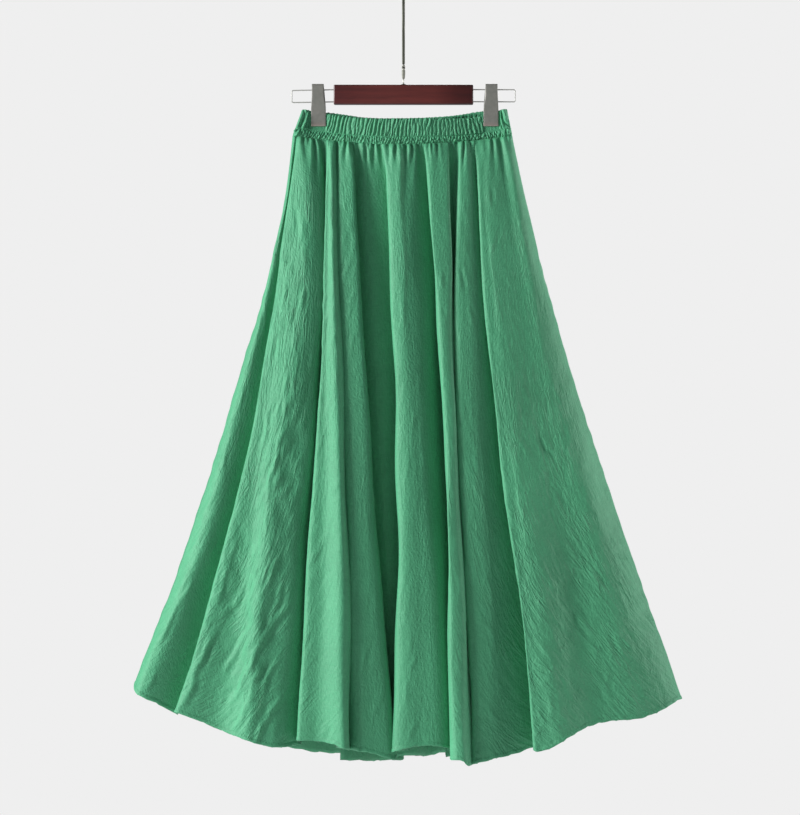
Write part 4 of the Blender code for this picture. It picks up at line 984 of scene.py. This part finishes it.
def metalFinish(name, colour, roughness, marksPerMetre, along, depth, metallic):  # fine marks one way
    material, tree, shader = newMaterial(name, colour, roughness, metallic)
    waves = [marksPerMetre] * 3
    waves[along] = marksPerMetre / 25
    marks = stretchedNoise(tree, addNode(tree, "ShaderNodeTexCoord").outputs["Object"], waves, 3.0)
    uneven = remapped(tree, marks, 0.3, 0.7, roughness * 0.75, roughness * 1.3)
    tree.links.new(uneven, shader.inputs["Roughness"])
    tree.links.new(bumped(tree, marks, depth, 0.1 * mm), shader.inputs["Normal"])
    return material


# drawn spring steel, oil blackened: nearly black, with a soft streak of light along the wire
blackenedWire = metalFinish("oilBlackenedSpringWire", "#4b4d44", 0.5, 1500, 2, 0.2, 0.7)
# matt nickel plated wire: pale and nearly smooth
nickelWire = metalFinish("mattNickelWire", "#b9b9b5", 0.5, 1800, 0, 0.1, 0.35)
# turned steel, bead blasted: greenish grey, with fine rings round the axis
turnedSteel = metalFinish("beadBlastedTurnedSteel", "#83847a", 0.6, 900, 0, 0.15, 0.15)
# the ferrule's two polished rims catch the light
polishedRim = metalFinish("polishedSteelRim", "#c9c9c0", 0.35, 900, 0, 0.1, 0.4)


def hookRoute():  # from the tip over the crown, back to the middle and down the shank
    bendRadius, turn = hanger["hookTurnRadius"], hanger["hookTurn"]
    ring = hanger["hookInner"] + hanger["hookEase"]
    crown = arcPoints(0, -hanger["hookInner"], ring, hanger["hookTip"], turn, 72)
    lean = turn + pi / 2
    lastX, _, lastZ = crown[-1]
    toShank = lastX - bendRadius * (1 - cos(lean))
    bendHeight = lastZ - toShank * cos(lean) / sin(lean) - bendRadius * sin(lean)
    bend = arcPoints(bendRadius, bendHeight, bendRadius, pi - lean, pi, 14)
    return crown + bend + [(0.0, 0.0, top + hanger["ferruleHeight"] + seamGap)]


hook = sweptWire("hookWire", hookRoute(), hanger["hookWire"] / 2)
addPiece("hookWire", hook, blackenedWire, "hook_wire", "hook")

# radius and height over the bar, in millimetres
ferruleProfile = (
    (0.3, 27.7), (1.9, 27.7), (2.1, 27.5), (2.15, 27), (2.1, 26.6), (1.9, 26.4), (1.8, 22), (2.2, 20.4),
    (2.4, 19.6), (2.5, 18.8), (2.5, 17), (2.45, 15), (2.35, 13), (2.2, 11.5), (2, 9.8), (1.8, 8.6),
    (1.5, 7.9), (0.75, 7.6), (0.7, 6), (0.75, 1.4), (1.1, 0.9), (1.1, -9), (0.3, -9),
)
washerProfile = ((1.15, 0.6), (2, 0.6), (2.9, 0.4), (3.1, 0.15), (3.1, -0.62), (2.9, -0.68), (1.15, -0.68))
pinProfile = ((0.72, 7.7), (0.95, 7.5), (0.9, 4.5), (0.95, 0.65), (0.72, 0.65))


def rimProfile(low, high, outer, inner=1.75, ease=0.25):
    return ((inner, high), (outer - ease, high), (outer, high - ease),
            (outer, low + ease), (outer - ease, low), (inner, low))


ferrule = turnedShape("ferruleTurned", ferruleProfile)
addPiece("ferruleTurned", ferrule, turnedSteel, "ferrule_metal", "ferrule")
for name, profile, finish in (
        ("ferruleRimUpper", rimProfile(25.4, 26.45, 2.45), polishedRim),
        ("ferruleCollar", rimProfile(22.5, 25.35, 2.3), blackenedWire),
        ("ferruleRimLower", rimProfile(20.9, 22.45, 2.5, ease=0.5), polishedRim),
        ("barWasher", washerProfile, blackenedWire),
        ("ferrulePin", pinProfile, polishedRim)):
    addPiece(name, turnedShape(name, profile, ring=True), finish, "ferrule_metal")


def loopRoute(direction, droop):  # out of the bar, round the end and back in
    reach = hanger["loopReach"] - hanger["loopWire"] / 2
    start = hanger["barLength"] / 2 - hanger["loopInBar"]
    upper, lower, corner = top - hanger["loopUpper"], top - hanger["loopLower"], hanger["loopCorner"]
    route = [(start, 0.0, upper), ((start + reach) / 2, 0.0, upper)]
    route += arcPoints(reach - corner, upper - corner, corner, pi / 2, 0, 12)
    route += arcPoints(reach - corner, lower + corner, corner, 0, -pi / 2, 12)
    route += [((start + reach) / 2, 0.0, lower), (start, 0.0, lower)]
    return [(direction * x, y, z - droop * (x - start) / (reach - start)) for x, y, z in route]


for side, direction in (("left", -1), ("right", 1)):
    name = "wireLoop" + side.title()
    loop = sweptWire(name, loopRoute(direction, hanger["loopDroop"][side]), hanger["loopWire"] / 2)
    addPiece(name, loop, nickelWire, "loop_wire", "wire_loop_" + side)


# zinc plated strip steel, passivated and dulled by handling: mid grey with cloudy patches and brushed faintly
# upright, and a lighter, warmer grey on the last few millimetres at the foot
def zincedStrip(warmFrom, warmTo):
    material, tree, shader = newMaterial("dullZincedStrip", "#858580", 0.48, metallic=0.35)
    place = addNode(tree, "ShaderNodeTexCoord").outputs["Object"]
    cloudy = addNode(tree, "ShaderNodeTexNoise", {"Scale": 160.0, "Detail": 4.0}, {"Vector": place})
    clouded = toneRamp(tree, cloudy.outputs[0], (0.35, "#888983"), (0.68, "#92918b"))
    height = addNode(tree, "ShaderNodeSeparateXYZ", {}, {0: place}).outputs["Z"]
    # a lighter, warmer grey mixed in over the last few millimetres at the foot
    warmFoot = remapped(tree, height, warmFrom, warmTo, 0.0, 0.75)
    tone = addNode(tree, "ShaderNodeMix", {}, {"Factor": warmFoot, "A": clouded}, data_type="RGBA")
    tone.inputs["B"].default_value = hexToLinear("#a3948e")
    tree.links.new(tone.outputs["Result"], shader.inputs["Base Color"])
    brushed = stretchedNoise(tree, place, (2200, 2200, 90), 2.0)
    tree.links.new(bumped(tree, brushed, 0.25, 0.08 * mm), shader.inputs["Normal"])
    return material


clipSteel = zincedStrip(-239 * mm, -244 * mm)


def stripShape(name, section, edgesAt, across=8):  # a section spread between edges that change with height
    bm = bmesh.new()
    columns = []
    for k in range(across + 1):
        edges = [edgesAt(z) for _, z in section]
        columns.append([bm.verts.new((near + (far - near) * k / across, y, z))
                        for (near, far), (y, z) in zip(edges, section)])
    for near, far in zip(columns, columns[1:]):
        for i in range(len(section)):
            bm.faces.new((near[i], near[i - 1], far[i - 1], far[i]))
    bm.faces.new(columns[0])
    bm.faces.new(columns[-1][::-1])
    bmesh.ops.recalc_face_normals(bm, faces=bm.faces)
    sharp = [edge for edge in bm.edges if edge.calc_face_angle(0.0) > radians(40)]
    bmesh.ops.bevel(bm, geom=sharp, offset=0.45 * mm, segments=3, profile=0.5, affect="EDGES")
    return meshFrom(bm, name)


def clipSection():  # the strip seen from the side: up the front leaf, over the wire, down the back one
    half, leaf = hanger["clipGap"] / 2, hanger["clipLeaf"]
    high = top + hanger["clipAbove"]
    foot, bend = high - hanger["clipHeight"], half + leaf
    shoulder, hollow, lip = hanger["clipShoulder"], hanger["clipHollow"], hanger["clipLip"]
    outside = [(-bend + 0.2 * mm, foot), (-bend - 0.15 * mm, foot + 0.5 * mm),
               (-bend - 0.15 * mm, foot + lip), (-bend, foot + lip + 1.2 * mm)]
    outside += [(-bend, foot + step * mm) for step in range(8, 54, 4)] + [(-bend, high - shoulder)]
    outside += [(-bend + shoulder * (1 - cos(a)), high - shoulder + shoulder * sin(a))
                for a in (0.35, 0.7, 1.05, 1.4)]
    arch = top - hanger["loopUpper"] + hanger["loopWire"] / 2 + seamGap
    inside = [(half, foot + 0.3 * mm)] + [(half, foot + step * mm) for step in range(4, 48, 4)]
    inside += [(half, arch - hollow)]
    inside += [(half - hollow * (1 - cos(a)), arch - hollow + hollow * sin(a)) for a in (0.5, 1.0, 1.5)]
    return [point for side in (outside, inside) for point in side + [(-y, z) for y, z in side[::-1]]]


def clipEdges(centre, inwards, z):  # upright outside, the jaws wider towards the middle of the bar
    share = (top + hanger["clipAbove"] - z) / hanger["clipHeight"]
    wider = (waist["clipWidth"] - hanger["clipTopWidth"]) * float(smoothStep(0.25, 0.6, share))
    edge = hanger["clipTopWidth"] / 2
    outer, inner = centre - inwards * (edge + 0.3 * wider), centre + inwards * (edge + 0.7 * wider)
    return min(outer, inner), max(outer, inner)


for side, centre, inwards in zip(("left", "right"), waist["clips"], (1, -1)):
    shape = stripShape("clip" + side.title(), clipSection(), lambda z: clipEdges(centre, inwards, z))
    addPiece("clip" + side.title(), shape, clipSteel, "clip_metal", "clip_" + side)


def barShape(name):  # eased on all its edges
    size = Matrix.Diagonal((hanger["barLength"], hanger["barThickness"], hanger["barHeight"], 1))
    rounding = {"offset": hanger["barRounding"], "segments": 4, "profile": 0.5}
    bm = bmesh.new()
    bmesh.ops.create_cube(bm, size=1.0, matrix=Matrix.Translation((0, 0, barMiddle)) @ size)
    bmesh.ops.bevel(bm, geom=bm.edges[:], affect="EDGES", **rounding)
    return meshFrom(bm, name)


# hardwood stained mahogany red under thin satin lacquer: fine dark pores along the bar, darker towards both
# ends, most at the right end, and darker along the upper and lower edge
def stainedWood():
    material, tree, shader = newMaterial("mahoganyStainedHardwood", "#5a2c2a", 0.38,
                                         Coat_Weight=0.25, Coat_Roughness=0.25)
    place = addNode(tree, "ShaderNodeTexCoord").outputs["Object"]
    along = addNode(tree, "ShaderNodeSeparateXYZ", {}, {0: place}).outputs
    half = hanger["barLength"] / 2
    grain = stretchedNoise(tree, place, (9, 160, 160), 4.0, bend=0.6)
    pores = stretchedNoise(tree, place, (60, 1500, 1500), 2.0)
    tone = toneRamp(tree, grain, (0.3, "#542422"), (0.7, "#6a2e2a"))
    # darker towards both ends of the bar, most at the right end
    towardsEnds = toneRamp(tree, remapped(tree, along["X"], -half, half), (0.0, "#c9b4c4"), (0.12, "#ddd0d6"),
                     (0.4, "#ffffff"), (0.72, "#fffafa"), (0.86, "#d4bcc0"), (1.0, "#b39aa4"))
    offMiddle = reckoned(tree, "ABSOLUTE", reckoned(tree, "ADD", along["Z"], -barMiddle))
    edged = remapped(tree, offMiddle, 12.4 * mm, 13.6 * mm, 1.0, 0.45)
    for shade in (remapped(tree, pores, 0.3, 0.5, 0.8, 1.0), towardsEnds, edged):
        tone = reckoned(tree, "MULTIPLY", tone, shade, kind="ShaderNodeVectorMath")
    tree.links.new(tone, shader.inputs["Base Color"])
    tree.links.new(bumped(tree, pores, 0.35, 0.15 * mm), shader.inputs["Normal"])
    return material


addPiece("woodenBar", barShape("woodenBar"), stainedWood(), "bar_wood", "hanger_bar")

print("studio")
studio = {
    "floor": -2.0, "floorRadius": 5.2, "paper": "#efefef", "roomLight": "#f4f6f8", "roomStrength": 0.16,
    "pixel": 1.42 * mm, "distance": 4.5, "sensor": 36,
    "viewWidth": 800, "viewHeight": 815, "railX": 403.5, "railY": -46.3,  # in pixels from its upper left
    "lit": (0, 0, -0.65),
}


def aimLight(name, place, size, power):
    lamp = bpy.data.lights.new(name, "AREA")
    lamp.shape, lamp.size, lamp.energy = "DISK", size, power
    holder = bpy.data.objects.new(name, lamp)
    holder.location = place
    holder.rotation_euler = (Vector(studio["lit"]) - Vector(place)).to_track_quat("-Z", "Y").to_euler()
    bpy.context.scene.collection.objects.link(holder)


aimLight("keyLight", (-4.25, -1.55, 0.5), 1.8, 312)
aimLight("edgeLight", (4.4, 0.3, 0.2), 1.6, 132)
aimLight("backLight", (0.8, 3.6, 0.8), 2.0, 60)

bm = bmesh.new()
bmesh.ops.create_circle(bm, cap_ends=True, radius=studio["floorRadius"], segments=64)
floorMesh = bpy.data.meshes.new("studioFloor")
bm.to_mesh(floorMesh)
bm.free()
floorMesh.transform(Matrix.Translation((0, 0, studio["floor"])))
floor = bpy.data.objects.new("studioFloor", floorMesh)
bpy.context.scene.collection.objects.link(floor)
floorPaper, _, _ = newMaterial("mattStudioPaper", studio["paper"], 0.9)
floor.data.materials.append(floorPaper)

world = bpy.data.worlds.new("softRoom")
bpy.context.scene.world = world
world.use_nodes = True
tree = world.node_tree
seen = tree.nodes["Background"]
seen.inputs["Color"].default_value = hexToLinear(studio["paper"])
room = {"Color": hexToLinear(studio["roomLight"]), "Strength": studio["roomStrength"]}
lit = addNode(tree, "ShaderNodeBackground", room)
rays = addNode(tree, "ShaderNodeLightPath")
mix = addNode(tree, "ShaderNodeMixShader", {},
              {0: rays.outputs["Is Camera Ray"], 1: lit.outputs[0], 2: seen.outputs[0]})
tree.links.new(mix.outputs[0], tree.nodes["World Output"].inputs["Surface"])

camera = bpy.data.objects.new("camera", bpy.data.cameras.new("camera"))
camera.data.sensor_fit, camera.data.sensor_width = "HORIZONTAL", studio["sensor"]
camera.data.lens = studio["distance"] / studio["pixel"] * studio["sensor"] / studio["viewWidth"]
camera.data.clip_end = 100
camera.location = ((studio["viewWidth"] / 2 - studio["railX"]) * studio["pixel"], -studio["distance"],
                   (studio["railY"] - studio["viewHeight"] / 2) * studio["pixel"])
camera.rotation_euler = (radians(90), 0, 0)
bpy.context.scene.collection.objects.link(camera)
bpy.context.scene.camera = camera
bpy.context.scene.view_settings.view_transform = "Standard"
